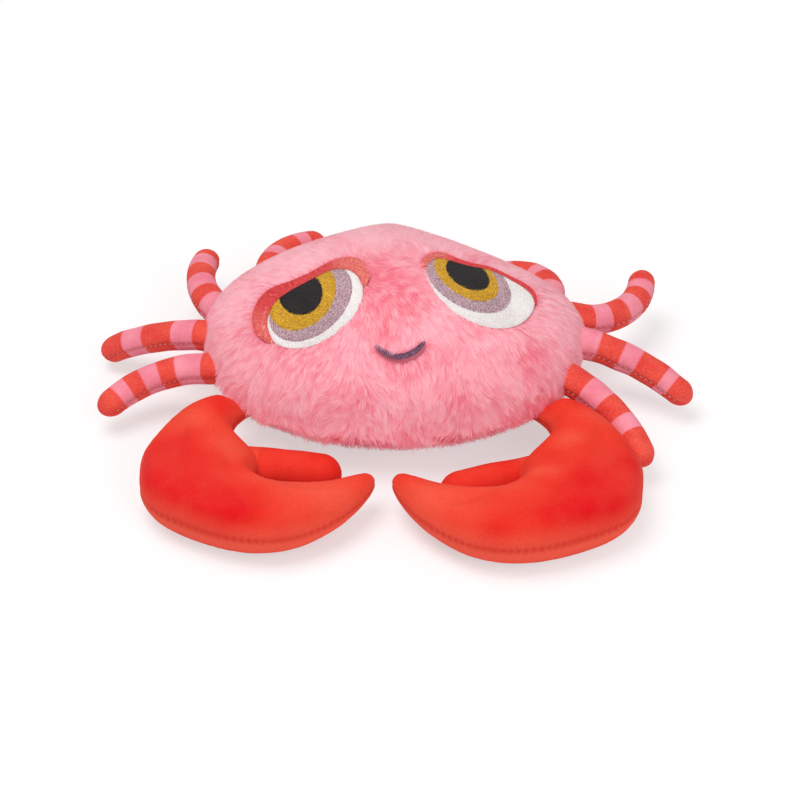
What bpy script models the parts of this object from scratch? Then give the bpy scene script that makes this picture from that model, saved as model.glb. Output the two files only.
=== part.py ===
"""A stuffed toy crab, built from the pieces that are sewn to make it.

Metres, +Z up. The crab lies on the ground plane with its face towards -Y. The origin is the middle of the
flat spot under its body. Left and right are the viewer's, so left is -X.
"""

from collections import namedtuple
from math import cos, hypot, pi, radians, sin

import bpy
import numpy as np
from mathutils import Vector
from mathutils.bvhtree import BVHTree
from mathutils.geometry import delaunay_2d_cdt

# Body: a round cushion in long pile, sewn from a back panel and a belly panel
BODY_WIDTH = 0.190
BODY_DEPTH = 0.148
BODY_SEAM_HEIGHT = 0.030
BODY_DOME = 0.047
BODY_BELLY = 0.033

# The body's outline from its front, round by the right, in shares of the half width and half depth.
# The toy has slumped a little, so the right of its back is flatter than the left
BODY_OUTLINE = (
    (0, -1), (0.32, -0.96), (0.57, -0.84), (0.79, -0.66), (0.94, -0.32), (1, 0.08), (0.91, 0.34),
    (0.74, 0.50), (0.49, 0.68), (0.24, 0.88), (-0.01, 1), (-0.25, 0.94), (-0.5, 0.78), (-0.75, 0.59),
    (-0.91, 0.39), (-1, 0.08), (-0.94, -0.32), (-0.79, -0.66), (-0.57, -0.84), (-0.32, -0.96),
)

# Claws: flat stuffed hooks that lie in front of the body, each from two panels of one pattern
CLAW_SPAN_LEFT = 0.112
CLAW_SPAN_RIGHT = 0.119
CLAW_HALF_THICKNESS = 0.0185
CLAW_SEAM_HEIGHT = 0.0175
CLAW_SHOULDER_HEIGHT = 0.027
CLAW_SHOULDER_RUN = 0.050
CLAW_BEARING_LEFT = 210.0
CLAW_BEARING_RIGHT = -32.0
CLAW_TURN_LEFT = 0.0
CLAW_TURN_RIGHT = 4.0
CLAW_TUCK = 0.016
CLAW_FLATNESS = 4

# The claw pattern in shares of its span: outwards from the shoulder, and forwards. It runs from the arm's
# outer edge round the palm and the finger, and back along the mouth of the claw
CLAW_PATTERN = (
    (0.017, -0.045), (0.145, 0.015), (0.245, 0.08), (0.322, 0.175), (0.372, 0.27), (0.38, 0.383),
    (0.365, 0.5), (0.3, 0.6), (0.174, 0.682), (0.009, 0.757), (-0.16, 0.785), (-0.32, 0.752),
    (-0.47, 0.652), (-0.57, 0.535), (-0.62, 0.425), (-0.588, 0.372), (-0.522, 0.4), (-0.417, 0.452),
    (-0.296, 0.478), (-0.174, 0.474), (-0.104, 0.417), (-0.08, 0.335), (-0.045, 0.25), (0.02, 0.155),
    (0.009, 0.061), (-0.07, 0),
)

# Thumbs: slim stuffed tubes sewn into the palm, in the mouth of the claw
THUMB_LENGTH = 0.048
THUMB_WIDTH = 0.021
THUMB_THICKNESS = 0.020
THUMB_TUCK = 0.012

# Legs: curved stuffed tubes, sewn on round the body's seam
LEG_LENGTH = 0.060
LEG_WIDTH = 0.0162
LEG_THICKNESS = 0.0154
LEG_TAPER = 0.84
LEG_TUCK = 0.014
SEAM_LIP = 0.0007

# Face: fields of thread, sunk in the pile and laid out on a flat chart that faces up and forwards
FACE_LEAN = 40.0
PILE_OVER_THREAD = 0.0038
THREAD_THICKNESS = 0.0012
LID_THICKNESS = 0.0034
LID_SINK = 0.0010
MOUTH_WIDTH = 0.0026
MOUTH_SPAN = 0.0235
MOUTH_SAG = 0.0062
MOUTH_TILT = 4.0
MOUTH_END_SHARE = 0.4

# Places on the chart, in shares of the body's half width across and half depth up from its seam
EYE_PLACE_LEFT = (-0.402, 0.205)
EYE_PLACE_RIGHT = (0.436, 0.393)
MOUTH_PLACE = (0.037, -0.117)

# Gap between pieces that touch
GAP = 0.0003

# Spacing of points along seams and over panels
BODY_SPACING = 0.0095
CLAW_SPACING = 0.0075
FACE_SPACING = 0.0068
FACE_EDGE_SPACING = 0.0032
EDGE_RINGS = (0.0014, 0.0052)

# Share of the spacing that the fill keeps clear of the innermost ring, and of its inset that a ring keeps
FILL_CLEAR = 0.6
RING_CLEAR = 0.9

# Steps between two knots of a smooth curve, and distance under which two of its points are one
CURVE_STEPS = 24
SAME_POINT = 1e-7

# Points round a tube, spacing and tip angles of its rings, and steps of its middle line
TUBE_SIDES = 14
RING_SPACING = 0.0050
TIP_ANGLES = (25, 50, 72)
LINE_STEPS = 200

# Steps in which a spot beyond the body's rim is brought back over it
RIM_STEPS = 40

# How a leg lies. bearing and height place its root on the body. heading and pitch are its direction
# there, and curl and lift are how far both have turned at its tip, in degrees
Limb = namedtuple("Limb", "bearing height heading curl pitch lift stripes")

# Stripes are widths in millimetres from the tip inwards, red first
LEGS = {
    "leg_left_1": Limb(142, 0.028, 102, -84, -2, -15, (12, 8, 14, 8, 12)),
    "leg_left_2": Limb(166, 0.034, 118, -46, -8, -6, (12, 11, 13, 12, 11)),
    "leg_left_3": Limb(179, 0.032, 160, 5, -12, -25, (17, 12, 17, 12)),
    "leg_left_4": Limb(192, 0.028, 166, 65, -10, -7, (11, 7, 8, 9, 9, 14)),
    "leg_right_1": Limb(25, 0.030, 80, 112, -10, -12, (12, 8, 14, 8, 12)),
    "leg_right_2": Limb(10, 0.031, 7, 87, -15, 24, (11, 7, 8, 9, 10, 9)),
    "leg_right_3": Limb(-2, 0.031, -12, -25, -9, -18, (12, 6, 14, 9, 12)),
    "leg_right_4": Limb(-19, 0.029, -32, -43, -12, -5, (18, 9, 12, 12)),
}

# Ellipses of thread on the chart around the eye: place, radii and tilt, in millimetres and degrees
Field = namedtuple("Field", "name across up wide high tilt")
FIELDS_LEFT = (
    Field("eye_white", 0, 0, 25.8, 16.7, 34),
    Field("eye_ring", -2.0, 2.8, 23.0, 16.0, 42),
    Field("iris", -6.3, 5.9, 18.6, 15.0, 50),
    Field("pupil", -6.9, 7.0, 10.8, 10.8, 0),
)
FIELDS_RIGHT = (
    Field("eye_white", 0, 0, 30.2, 20.9, -34),
    Field("eye_ring", -5.3, -0.9, 22.9, 13.5, -30),
    Field("iris", -6.1, 1.5, 17.3, 10.5, -34),
    Field("pupil", -5.2, 0.6, 10.8, 5.1, -29),
)

# An eyelid's lower edge on the chart, from its outer to its inner corner, and the lid's width there
LID_LEFT = (
    (-21.1, -17.8, 0.8), (-24.0, -9.0, 5.5), (-23.5, -2.0, 6.5), (-19.0, 4.5, 6.2), (-10.0, 9.6, 4.4),
    (0.0, 15.0, 3.6), (8.0, 18.8, 4.4), (15.5, 18.9, 6.8), (20.5, 15.6, 7.4), (23.4, 9.6, 1.2),
)
LID_RIGHT = (
    (27.6, -12.6, 0.8), (25.6, -7.7, 2.4), (21.5, -4.2, 2.6), (15.5, -0.9, 2.4), (6.0, 4.0, 2.2),
    (-4.3, 5.6, 2.4), (-12.0, 7.9, 3.2), (-18.9, 10.3, 5.0), (-24.0, 8.6, 5.5), (-26.3, 4.5, 1.2),
)
THREADS = {
    "eye_white": "white_thread", "eye_ring": "mauve_thread", "iris": "gold_thread", "pupil": "black_thread",
}

# Where a thumb starts, in shares of the claw's span, its heading as seen on the left claw, and its curl
THUMB_ROOT_LEFT = (-0.05, 0.24)
THUMB_ROOT_RIGHT = (-0.05, 0.265)
THUMB_HEADING_LEFT = -6.0
THUMB_HEADING_RIGHT = -15.0
THUMB_CURL = -6.0

# Colours and surfaces: base colour, roughness
FINISHES = {
    "pink_pile": ((0.930, 0.300, 0.370), 0.95),
    "orange_velour": ((0.850, 0.060, 0.030), 0.85),
    "red_stripe": ((0.800, 0.065, 0.055), 0.85),
    "pink_stripe": ((0.920, 0.225, 0.320), 0.85),
    "lid_thread": ((0.800, 0.085, 0.065), 0.70),
    "white_thread": ((0.870, 0.800, 0.780), 0.65),
    "mauve_thread": ((0.520, 0.290, 0.330), 0.65),
    "gold_thread": ((0.750, 0.400, 0.020), 0.60),
    "black_thread": ((0.010, 0.008, 0.008), 0.60),
    "plum_thread": ((0.230, 0.080, 0.150), 0.65),
}


def clear_scene():
    for found in list(bpy.data.objects):
        bpy.data.objects.remove(found)


def material(name):
    """The Principled material of this finish, made once."""
    found = bpy.data.materials.get(name)
    if found:
        return found
    colour, roughness = FINISHES[name]
    made = bpy.data.materials.new(name)
    made.use_nodes = True
    shader = made.node_tree.nodes["Principled BSDF"]
    shader.inputs["Base Color"].default_value = (*colour, 1)
    shader.inputs["Roughness"].default_value = roughness
    shader.inputs["Metallic"].default_value = 0
    made.diffuse_color = (*colour, 1)
    return made


def mesh_object(name, points, faces, *finishes):
    """A smooth-shaded object from points and faces, with its materials."""
    mesh = bpy.data.meshes.new(name)
    mesh.from_pydata([tuple(map(float, point)) for point in points], [], faces)
    mesh.shade_smooth()
    made = bpy.data.objects.new(name, mesh)
    bpy.context.scene.collection.objects.link(made)
    for finish in finishes:
        mesh.materials.append(material(finish))
    return made


def as_cutter(obj):
    obj.hide_render = True
    obj.display_type = "WIRE"
    return obj


def cut(obj, cutter):
    """Takes the cutter's volume out of the object."""
    boolean = obj.modifiers.new("Cut by " + cutter.name, "BOOLEAN")
    boolean.operation = "DIFFERENCE"
    boolean.solver = "EXACT"
    boolean.object = cutter


def cutter_round(obj, clearance):
    """A cutter of the object's own shape, grown by the clearance."""
    cutter = as_cutter(mesh_object(obj.name + "_cutter", [], []))
    cutter.data = obj.data.copy()
    grow = cutter.modifiers.new("Clearance", "DISPLACE")
    grow.strength = clearance
    grow.mid_level = 0
    return cutter


def evenly(curve, spacing):
    """Points at even spacing along a closed line of points."""
    closed = np.vstack([curve, curve[:1]])
    along = np.concatenate([[0], np.cumsum(np.linalg.norm(np.diff(closed, axis=0), axis=1))])
    count = round(along[-1] / spacing)
    stations = np.linspace(0, along[-1], count, endpoint=False)
    return np.column_stack([np.interp(stations, along, closed[:, axis]) for axis in (0, 1)])


def smooth_loop(knots, spacing):
    """Points at even spacing along a closed curve that passes smoothly through the knots."""
    knots = np.array(knots, float)
    before, after, second = (np.roll(knots, shift, axis=0) for shift in (1, -1, -2))
    t = np.linspace(0, 1, CURVE_STEPS, endpoint=False)[:, None, None]
    curve = knots + (after - before) / 2 * t
    curve = curve + (2 * before - 5 * knots + 4 * after - second) / 2 * t**2
    curve = curve + (3 * knots - before - 3 * after + second) / 2 * t**3
    return evenly(curve.transpose(1, 0, 2).reshape(-1, 2), spacing)


def distance_to_loop(points, loop):
    """Shortest distance from each point to the sides of a closed loop."""
    side = np.roll(loop, -1, axis=0) - loop
    reach = points[:, None] - loop
    share = np.clip((reach * side).sum(2) / (side * side).sum(1), 0, 1)
    return np.linalg.norm(reach - share[..., None] * side, axis=2).min(1)


def inside_loop(points, loop):
    """Whether each point lies inside a closed loop."""
    x, y = points[:, :1], points[:, 1:]
    x0, y0 = loop[:, 0], loop[:, 1]
    x1, y1 = np.roll(x0, -1), np.roll(y0, -1)
    rise = np.where(y1 == y0, 1, y1 - y0)
    crossed = ((y0 > y) != (y1 > y)) & (x < x0 + (y - y0) * (x1 - x0) / rise)
    return crossed.sum(1) % 2 == 1


def grown(loop, distance):
    """The loop moved outwards by a distance. A loop runs anticlockwise."""
    along = np.roll(loop, -1, axis=0) - np.roll(loop, 1, axis=0)
    along /= np.linalg.norm(along, axis=1)[:, None]
    return loop + distance * np.column_stack([along[:, 1], -along[:, 0]])


def anticlockwise(loop):
    x, y = loop[:, 0], loop[:, 1]
    area = (x * np.roll(y, -1) - y * np.roll(x, -1)).sum()
    return loop if area > 0 else loop[::-1]


def panel(loop, spacing, rings):
    """A flat panel in triangles: its edge, rings just inside the edge, and an even fill."""
    layers = [loop]
    for inset in rings:
        ring = grown(loop, -inset)
        kept = inside_loop(ring, loop) & (distance_to_loop(ring, loop) > RING_CLEAR * inset)
        layers.append(ring[kept])
    margin = (rings[-1] if rings else 0) + FILL_CLEAR * spacing
    low, high = loop.min(0), loop.max(0)
    rows = np.arange(low[1], high[1], spacing * sin(pi / 3))
    columns = np.arange(low[0], high[0], spacing)
    grid = np.array([(x + spacing / 2 * (row % 2), y) for row, y in enumerate(rows) for x in columns])
    kept = inside_loop(grid, loop) & (distance_to_loop(grid, loop) > margin)
    layers.append(grid[kept])
    flat = [Vector(point) for point in np.vstack(layers)]
    edge = list(range(len(loop)))
    found, _, faces, _, _, _ = delaunay_2d_cdt(flat, [], [edge], 1, SAME_POINT)
    return np.array([tuple(point) for point in found]), np.array(faces)


def puff(points, faces, edge_count):
    """Height of a skin that even pressure lifts from a flat panel held along its edge.

    It solves the membrane equation over the panel's triangles. The square root turns its
    parabolic sections into the round ones of a stuffed tube.
    """
    count = len(points)
    stiffness = np.zeros((count, count))
    load = np.zeros(count)
    corners = points[faces]
    for k in range(3):
        i, j = faces[:, (k + 1) % 3], faces[:, (k + 2) % 3]
        to_i = corners[:, (k + 1) % 3] - corners[:, k]
        to_j = corners[:, (k + 2) % 3] - corners[:, k]
        twice_area = np.abs(to_i[:, 0] * to_j[:, 1] - to_i[:, 1] * to_j[:, 0])
        weight = (to_i * to_j).sum(1) / twice_area / 2
        for row, column, sign in ((i, i, 1), (j, j, 1), (i, j, -1), (j, i, -1)):
            np.add.at(stiffness, (row, column), sign * weight)
        np.add.at(load, faces[:, k], twice_area / 6)
    free = slice(edge_count, count)
    height = np.zeros(count)
    height[free] = np.linalg.solve(stiffness[free, free], load[free])
    return np.sqrt(2 * np.maximum(height, 0))


def stuffed(name, flat, faces, edge_count, above, below, middle, finish):
    """A closed cushion from two like panels that share their edge as a seam, on the ground or over it."""
    top = np.column_stack([flat, np.maximum(middle + above, 0)])
    bottom = np.column_stack([flat, np.maximum(middle - below, 0)])
    shift = len(flat) - edge_count
    under = np.where(faces >= edge_count, faces + shift, faces)
    points = np.vstack([top, bottom[edge_count:]])
    return mesh_object(name, points, faces.tolist() + under[:, ::-1].tolist(), finish)


def body_loop():
    """The body's seam, seen from above."""
    knots = [(x * BODY_WIDTH / 2, y * BODY_DEPTH / 2) for x, y in BODY_OUTLINE]
    return smooth_loop(knots, BODY_SPACING)


def root_on_body(bearing):
    """The point of the body's seam at this bearing from its middle, in degrees from +X."""
    loop = body_loop()
    angles = np.degrees(np.arctan2(loop[:, 1], loop[:, 0]))
    order = np.argsort(angles)
    bearing = (bearing + 180) % 360 - 180
    return np.array([np.interp(bearing, angles[order], loop[order, axis], period=360) for axis in (0, 1)])


def body_form(name):
    """The whole cushion, before the face is sunk in it."""
    loop = body_loop()
    flat, faces = panel(loop, BODY_SPACING, EDGE_RINGS)
    rise = puff(flat, faces, len(loop))
    rise = rise / rise.max()
    above, below = BODY_DOME * rise, BODY_BELLY * rise
    return stuffed(name, flat, faces, len(loop), above, below, BODY_SEAM_HEIGHT, "pink_pile")


def limited(rise, most):
    """Rounds a height off smoothly under the most that the panels allow."""
    return rise / (1 + (rise / most) ** CLAW_FLATNESS) ** (1 / CLAW_FLATNESS)


def shoulder(side):
    """Where the claw's pattern starts on the body, its outward direction and its span."""
    if side == "left":
        return root_on_body(CLAW_BEARING_LEFT), -1, CLAW_SPAN_LEFT
    return root_on_body(CLAW_BEARING_RIGHT), 1, CLAW_SPAN_RIGHT


def claw_place(side, out, forward):
    """A point of the claw's pattern, in shares of its span, as a place on the ground."""
    root, outward, span = shoulder(side)
    turn = radians(CLAW_TURN_LEFT if side == "left" else CLAW_TURN_RIGHT)
    turned_out = out * cos(turn) - forward * sin(turn)
    turned_forward = out * sin(turn) + forward * cos(turn)
    return root + span * np.array([outward * turned_out, -turned_forward])


def claw(side):
    """A flat hook with a soft edge, whose arm rises to the body's seam."""
    root, outward, span = shoulder(side)
    knots = [claw_place(side, out, forward) for out, forward in CLAW_PATTERN]
    inwards = -root / hypot(*root)
    knots.append(knots[-1] + CLAW_TUCK * inwards)
    knots.append(knots[0] + CLAW_TUCK * inwards)
    loop = anticlockwise(smooth_loop(knots, CLAW_SPACING))
    flat, faces = panel(loop, CLAW_SPACING, EDGE_RINGS)
    rise = limited(puff(flat, faces, len(loop)), CLAW_HALF_THICKNESS)
    away = np.clip(np.linalg.norm(flat - root, axis=1) / CLAW_SHOULDER_RUN, 0, 1)
    ease = away * away * (3 - 2 * away)
    middle = CLAW_SHOULDER_HEIGHT + (CLAW_SEAM_HEIGHT - CLAW_SHOULDER_HEIGHT) * ease
    return stuffed("claw_" + side, flat, faces, len(loop), rise, rise, middle, "orange_velour")


def direction(limb, share):
    """Unit direction of a limb's centreline at a share of its length."""
    share = max(share, 0)
    heading = radians(limb.heading + limb.curl * share)
    pitch = radians(limb.pitch + limb.lift * share)
    return np.array([cos(heading) * cos(pitch), sin(heading) * cos(pitch), sin(pitch)])


def stations(length, tuck, tip, stripes):
    """Distances from the root at which a tube has rings: at each stripe's edge, and closer at the tip."""
    round_tip = [length - tip * (1 - sin(radians(angle))) for angle in TIP_ANGLES]
    edges = [length - distance for distance in np.cumsum(stripes) if distance < length]
    fixed = sorted({-tuck, *edges, *round_tip})
    found = [fixed[0]]
    for end in fixed[1:]:
        count = max(1, round((end - found[-1]) / RING_SPACING))
        found.extend(np.linspace(found[-1], end, count + 1)[1:])
    return np.array(found)


def middle_line(start, limb, length, tuck):
    """Distances along a limb from its root, and the points of its middle line there."""
    distances = np.linspace(-tuck, length, LINE_STEPS + 1)
    step = distances[1] - distances[0]
    ways = np.array([direction(limb, (distance + step / 2) / length) for distance in distances[:-1]])
    line = np.vstack([[0, 0, 0], np.cumsum(ways * step, axis=0)])
    return distances, line + np.array(start) - point_along(distances, line, 0)


def point_along(distances, line, place):
    return np.array([np.interp(place, distances, line[:, axis]) for axis in range(3)])


def girth_share(place, length, tip, taper):
    """A tube's girth at a distance from its root: an even taper that ends in a round tip."""
    past = max(0, 1 - (length - place) / tip)
    narrowing = 1 + (taper - 1) * max(0, place) / length
    return float(narrowing * max(0, 1 - past * past) ** 0.5)


def ring(centre, ahead, width, thickness, lip):
    """Points round a tube, square to its direction. The first is on the seam, pushed out by the lip."""
    aside = Vector((ahead.y, -ahead.x, 0)).normalized()
    upward = aside.cross(ahead)
    turns = [2 * pi * side / TUBE_SIDES for side in range(TUBE_SIDES)]
    points = [centre + aside * cos(turn) * width / 2 + upward * sin(turn) * thickness / 2 for turn in turns]
    points[0] += aside * lip
    return points


def tube_faces(ring_count):
    """Faces between the rings, then a fan over each end. The two end points follow the rings."""
    sides = [(side, (side + 1) % TUBE_SIDES) for side in range(TUBE_SIDES)]
    lasts = ring_count * TUBE_SIDES
    bands = [
        (low + a, low + b, low + b + TUBE_SIDES, low + a + TUBE_SIDES)
        for low in range(0, lasts - TUBE_SIDES, TUBE_SIDES)
        for a, b in sides
    ]
    root_fan = [(b, a, lasts) for a, b in sides]
    tip_fan = [(lasts - TUBE_SIDES + a, lasts - TUBE_SIDES + b, lasts + 1) for a, b in sides]
    return bands, root_fan, tip_fan


def tube(name, start, limb, sizes, finishes):
    """A stuffed tube with a rounded tip and a seam lip along its front edge."""
    length, tuck, width, thickness, taper = sizes
    stripes = np.array(limb.stripes) / 1000
    places = stations(length, tuck, width / 2, stripes)
    distances, line = middle_line(start, limb, length, tuck)
    points = []
    for place in places:
        ahead = Vector(direction(limb, place / length))
        centre = Vector(point_along(distances, line, place))
        share = girth_share(place, length, width / 2, taper)
        points += ring(centre, ahead, width * share, thickness * share, SEAM_LIP * share)
    bands, root_fan, tip_fan = tube_faces(len(places))
    made = mesh_object(name, [*points, line[0], line[-1]], bands + root_fan + tip_fan, *finishes)

    ends = length - np.cumsum(stripes)
    middles = (places[:-1] + places[1:]) / 2
    slots = [int((middle < ends).sum()) % len(finishes) for middle in middles for _ in range(TUBE_SIDES)]
    slots += [slots[0]] * len(root_fan) + [0] * len(tip_fan)
    made.data.polygons.foreach_set("material_index", slots)
    return made


def thumb(side):
    """The claw's short upper finger, from the palm along the mouth of the claw."""
    place, heading, curl = THUMB_ROOT_LEFT, THUMB_HEADING_LEFT, THUMB_CURL
    if side == "right":
        place, heading, curl = THUMB_ROOT_RIGHT, 180 - THUMB_HEADING_RIGHT, -THUMB_CURL
    root = claw_place(side, *place)
    limb = Limb(0, 0, heading, curl, 0, 0, ())
    start = (*root, THUMB_THICKNESS / 2)
    sizes = THUMB_LENGTH, THUMB_TUCK, THUMB_WIDTH, THUMB_THICKNESS, 1
    return tube("claw_thumb_" + side, start, limb, sizes, ("orange_velour",))


def leg(name, limb):
    start = (*root_on_body(limb.bearing), limb.height)
    sizes = LEG_LENGTH, LEG_TUCK, LEG_WIDTH, LEG_THICKNESS, LEG_TAPER
    return tube(name, start, limb, sizes, ("red_stripe", "pink_stripe"))


def face_axes():
    """The chart's directions across and up, and the axis that it faces along."""
    lean = radians(FACE_LEAN)
    return Vector((1, 0, 0)), Vector((0, sin(lean), cos(lean))), Vector((0, -cos(lean), sin(lean)))


def chart_place(place):
    """A place in shares of the body's half sizes, as chart coordinates."""
    seam_up = BODY_SEAM_HEIGHT * cos(radians(FACE_LEAN))
    return np.array([place[0] * BODY_WIDTH / 2, place[1] * BODY_DEPTH / 2 + seam_up])


def on_pile(body_tree, spot):
    """The point of the body's surface in front of a spot on the chart, or in front of its rim."""
    across, up, axis = face_axes()
    middle = chart_place((0, 0))
    for share in np.linspace(1, 0, RIM_STEPS):
        at = middle + (np.array(spot) - middle) * share
        start = across * float(at[0]) + up * float(at[1]) + axis
        found = body_tree.ray_cast(start, -axis)[0]
        if found:
            return found


def face_solid(name, body_tree, loop, top, bottom, *finishes):
    """A patch with an outline on the chart, between two depths below the top of the pile."""
    loop = anticlockwise(np.array(loop))
    flat, faces = panel(loop, FACE_SPACING, ())
    axis = face_axes()[2]
    pile = [on_pile(body_tree, spot) for spot in flat]
    points = [point - axis * top for point in pile] + [point - axis * bottom for point in pile]
    count, edge = len(flat), len(loop)
    sides = [(k, k + count, (k + 1) % edge + count, (k + 1) % edge) for k in range(edge)]
    under = (faces[:, ::-1] + count).tolist()
    return mesh_object(name, points, faces.tolist() + under + sides, *finishes)


def trimmer(name, loop):
    """A cutter that goes straight through, along the chart's axis, with this outline on the chart."""
    loop = anticlockwise(np.array(loop))
    across, up, axis = face_axes()
    flat, faces = panel(loop, BODY_WIDTH, ())
    spots = [across * float(x) + up * float(y) for x, y in flat]
    points = [spot + axis * BODY_WIDTH for spot in spots] + [spot - axis * BODY_WIDTH for spot in spots]
    count = len(flat)
    sides = [(k, k + count, (k + 1) % count + count, (k + 1) % count) for k in range(count)]
    under = (faces[:, ::-1] + count).tolist()
    return as_cutter(mesh_object(name, points, faces.tolist() + under + sides))


def ellipse(field, centre, clearance):
    """The outline of a field of thread on the chart, grown by a clearance."""
    wide, high = field.wide / 1000 + clearance, field.high / 1000 + clearance
    tilt = radians(field.tilt)
    count = round(pi * (wide + high) / FACE_EDGE_SPACING)
    loop = []
    for k in range(count):
        x, y = wide * cos(2 * pi * k / count), high * sin(2 * pi * k / count)
        across = field.across / 1000 + x * cos(tilt) - y * sin(tilt)
        up = field.up / 1000 + x * sin(tilt) + y * cos(tilt)
        loop.append(centre + (across, up))
    return loop


def lid_edges(knots, centre):
    """The eyelid's lower edge, middle and upper edge on the chart."""
    lower = np.array([knot[:2] for knot in knots]) / 1000
    widths = np.array([knot[2] for knot in knots])[:, None] / 1000
    along = np.gradient(lower, axis=0)
    along /= np.linalg.norm(along, axis=1)[:, None]
    away = np.column_stack([-along[:, 1], along[:, 0]])
    if (away * lower).sum() < 0:
        away = -away
    return centre + lower, centre + lower + away * widths / 2, centre + lower + away * widths


def eye(side, body, body_tree):
    """An eye in fields of thread side by side under a stitched lid, all sunk in the pile."""
    fields, knots, place = FIELDS_LEFT, LID_LEFT, EYE_PLACE_LEFT
    if side == "right":
        fields, knots, place = FIELDS_RIGHT, LID_RIGHT, EYE_PLACE_RIGHT
    centre = chart_place(place)
    depth = PILE_OVER_THREAD + THREAD_THICKNESS

    lower, middle, upper = lid_edges(knots, centre)
    lid_loop = anticlockwise(smooth_loop([*lower, *upper[::-1]], FACE_EDGE_SPACING))
    lid_bottom = depth + LID_SINK
    face_solid("eyelid_" + side, body_tree, lid_loop, lid_bottom - LID_THICKNESS, lid_bottom, "lid_thread")
    lid_space = trimmer("lid_space_" + side, grown(lid_loop, GAP))
    outwards = np.sign(middle[0] - middle[-1])[0] * np.array([BODY_WIDTH / 4, 0])
    upwards = np.array([0, BODY_WIDTH / 2])
    corners = middle[-1] - outwards, middle[-1] - outwards + upwards, middle[0] + outwards + upwards
    over_lid = trimmer("over_lid_" + side, [*middle, *corners, middle[0] + outwards])

    shape = trimmer("eye_shape_" + side, ellipse(fields[0], centre, 0))
    for field, inner in zip(fields, [*fields[1:], None]):
        outline = ellipse(field, centre, 0)
        thread = face_solid(field.name + "_" + side, body_tree, outline, PILE_OVER_THREAD, depth,
                            THREADS[field.name])
        if field is not fields[0]:
            inside = thread.modifiers.new("Inside the eye", "BOOLEAN")
            inside.operation = "INTERSECT"
            inside.object = shape
        cut(thread, lid_space)
        cut(thread, over_lid)
        if inner:
            cut(thread, trimmer(inner.name + "_space_" + side, ellipse(inner, centre, GAP)))

    over_pile = -PILE_OVER_THREAD
    eye_outline, eye_floor = ellipse(fields[0], centre, GAP), depth + 2 * GAP
    eye_hollow = face_solid("eye_hollow_" + side, body_tree, eye_outline, over_pile, eye_floor)
    cut(as_cutter(eye_hollow), over_lid)
    cut(body, eye_hollow)
    lid_outline, lid_floor = grown(lid_loop, 2 * GAP), lid_bottom + 2 * GAP
    lid_hollow = face_solid("lid_hollow_" + side, body_tree, lid_outline, over_pile, lid_floor)
    cut(body, as_cutter(lid_hollow))


def mouth_loop():
    """The outline of the smile on the chart: an even band along an arc, slimmer at its ends."""
    tilt = radians(MOUTH_TILT)
    shares = np.linspace(-1, 1, round(MOUTH_SPAN / FACE_EDGE_SPACING * 2) + 1)
    line = np.column_stack([shares * MOUTH_SPAN / 2, MOUTH_SAG * shares**2])
    along = np.gradient(line, axis=0)
    along /= np.linalg.norm(along, axis=1)[:, None]
    band = MOUTH_WIDTH / 2 * (1 - (1 - MOUTH_END_SHARE) * shares[:, None] ** 6)
    aside = np.column_stack([-along[:, 1], along[:, 0]]) * band
    loop = np.vstack([line + aside, (line - aside)[::-1]])
    turned = loop @ np.array([[cos(tilt), sin(tilt)], [-sin(tilt), cos(tilt)]])
    return anticlockwise(chart_place(MOUTH_PLACE) + turned)


def mouth(body, body_tree):
    """A thick satin stitch in a groove of the pile."""
    top = PILE_OVER_THREAD - THREAD_THICKNESS
    bottom = PILE_OVER_THREAD
    face_solid("mouth", body_tree, mouth_loop(), top, bottom, "plum_thread")
    outline = grown(mouth_loop(), GAP)
    groove = face_solid("mouth_groove", body_tree, outline, -PILE_OVER_THREAD, bottom + 2 * GAP)
    cut(body, as_cutter(groove))


def build():
    clear_scene()
    body = body_form("body")
    body_space = cutter_round(body, GAP)
    polygons = [list(face.vertices) for face in body.data.polygons]
    body_tree = BVHTree.FromPolygons([vertex.co for vertex in body.data.vertices], polygons)
    eye("left", body, body_tree)
    eye("right", body, body_tree)
    mouth(body, body_tree)
    claw_spaces = {}
    for side in ("left", "right"):
        hook = claw(side)
        claw_spaces[side] = cutter_round(hook, GAP)
        cut(hook, body_space)
        finger = thumb(side)
        cut(finger, claw_spaces[side])
        cut(finger, body_space)
    for name, limb in LEGS.items():
        tube_leg = leg(name, limb)
        cut(tube_leg, body_space)
        if name.endswith("4"):
            cut(tube_leg, claw_spaces[name.split("_")[1]])


build()
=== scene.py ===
from collections import namedtuple
from math import cos, pi, radians, sin

import bpy
import numpy as np
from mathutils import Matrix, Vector
from mathutils.bvhtree import BVHTree
from mathutils.geometry import delaunay_2d_cdt


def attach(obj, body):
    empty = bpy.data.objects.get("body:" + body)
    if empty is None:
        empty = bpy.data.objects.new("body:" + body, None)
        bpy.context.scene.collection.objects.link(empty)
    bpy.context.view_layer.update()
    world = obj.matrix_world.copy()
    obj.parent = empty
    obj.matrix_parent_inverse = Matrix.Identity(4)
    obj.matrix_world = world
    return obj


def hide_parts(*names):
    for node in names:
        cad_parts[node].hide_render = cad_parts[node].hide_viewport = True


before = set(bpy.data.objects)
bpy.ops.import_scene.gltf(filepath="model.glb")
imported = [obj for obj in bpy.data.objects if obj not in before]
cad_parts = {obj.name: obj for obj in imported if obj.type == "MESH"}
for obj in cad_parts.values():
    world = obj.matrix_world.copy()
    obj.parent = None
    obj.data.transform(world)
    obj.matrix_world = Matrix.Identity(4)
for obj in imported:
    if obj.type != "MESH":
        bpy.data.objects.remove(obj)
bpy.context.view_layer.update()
random = np.random.default_rng(7)


# Body form
# The crab's body is one round cushion. Two panels of knitted pile cloth, a back and a belly, are sewn
# together round the rim, turned and stuffed. This section gives its form, at the top of the pile.
BODY_WIDTH = 0.190
BODY_DEPTH = 0.148
RIM_HEIGHT = 0.030
BACK_RISE = 0.047
BELLY_DROP = 0.033
CLOTH_SPACING = 0.0030

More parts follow.
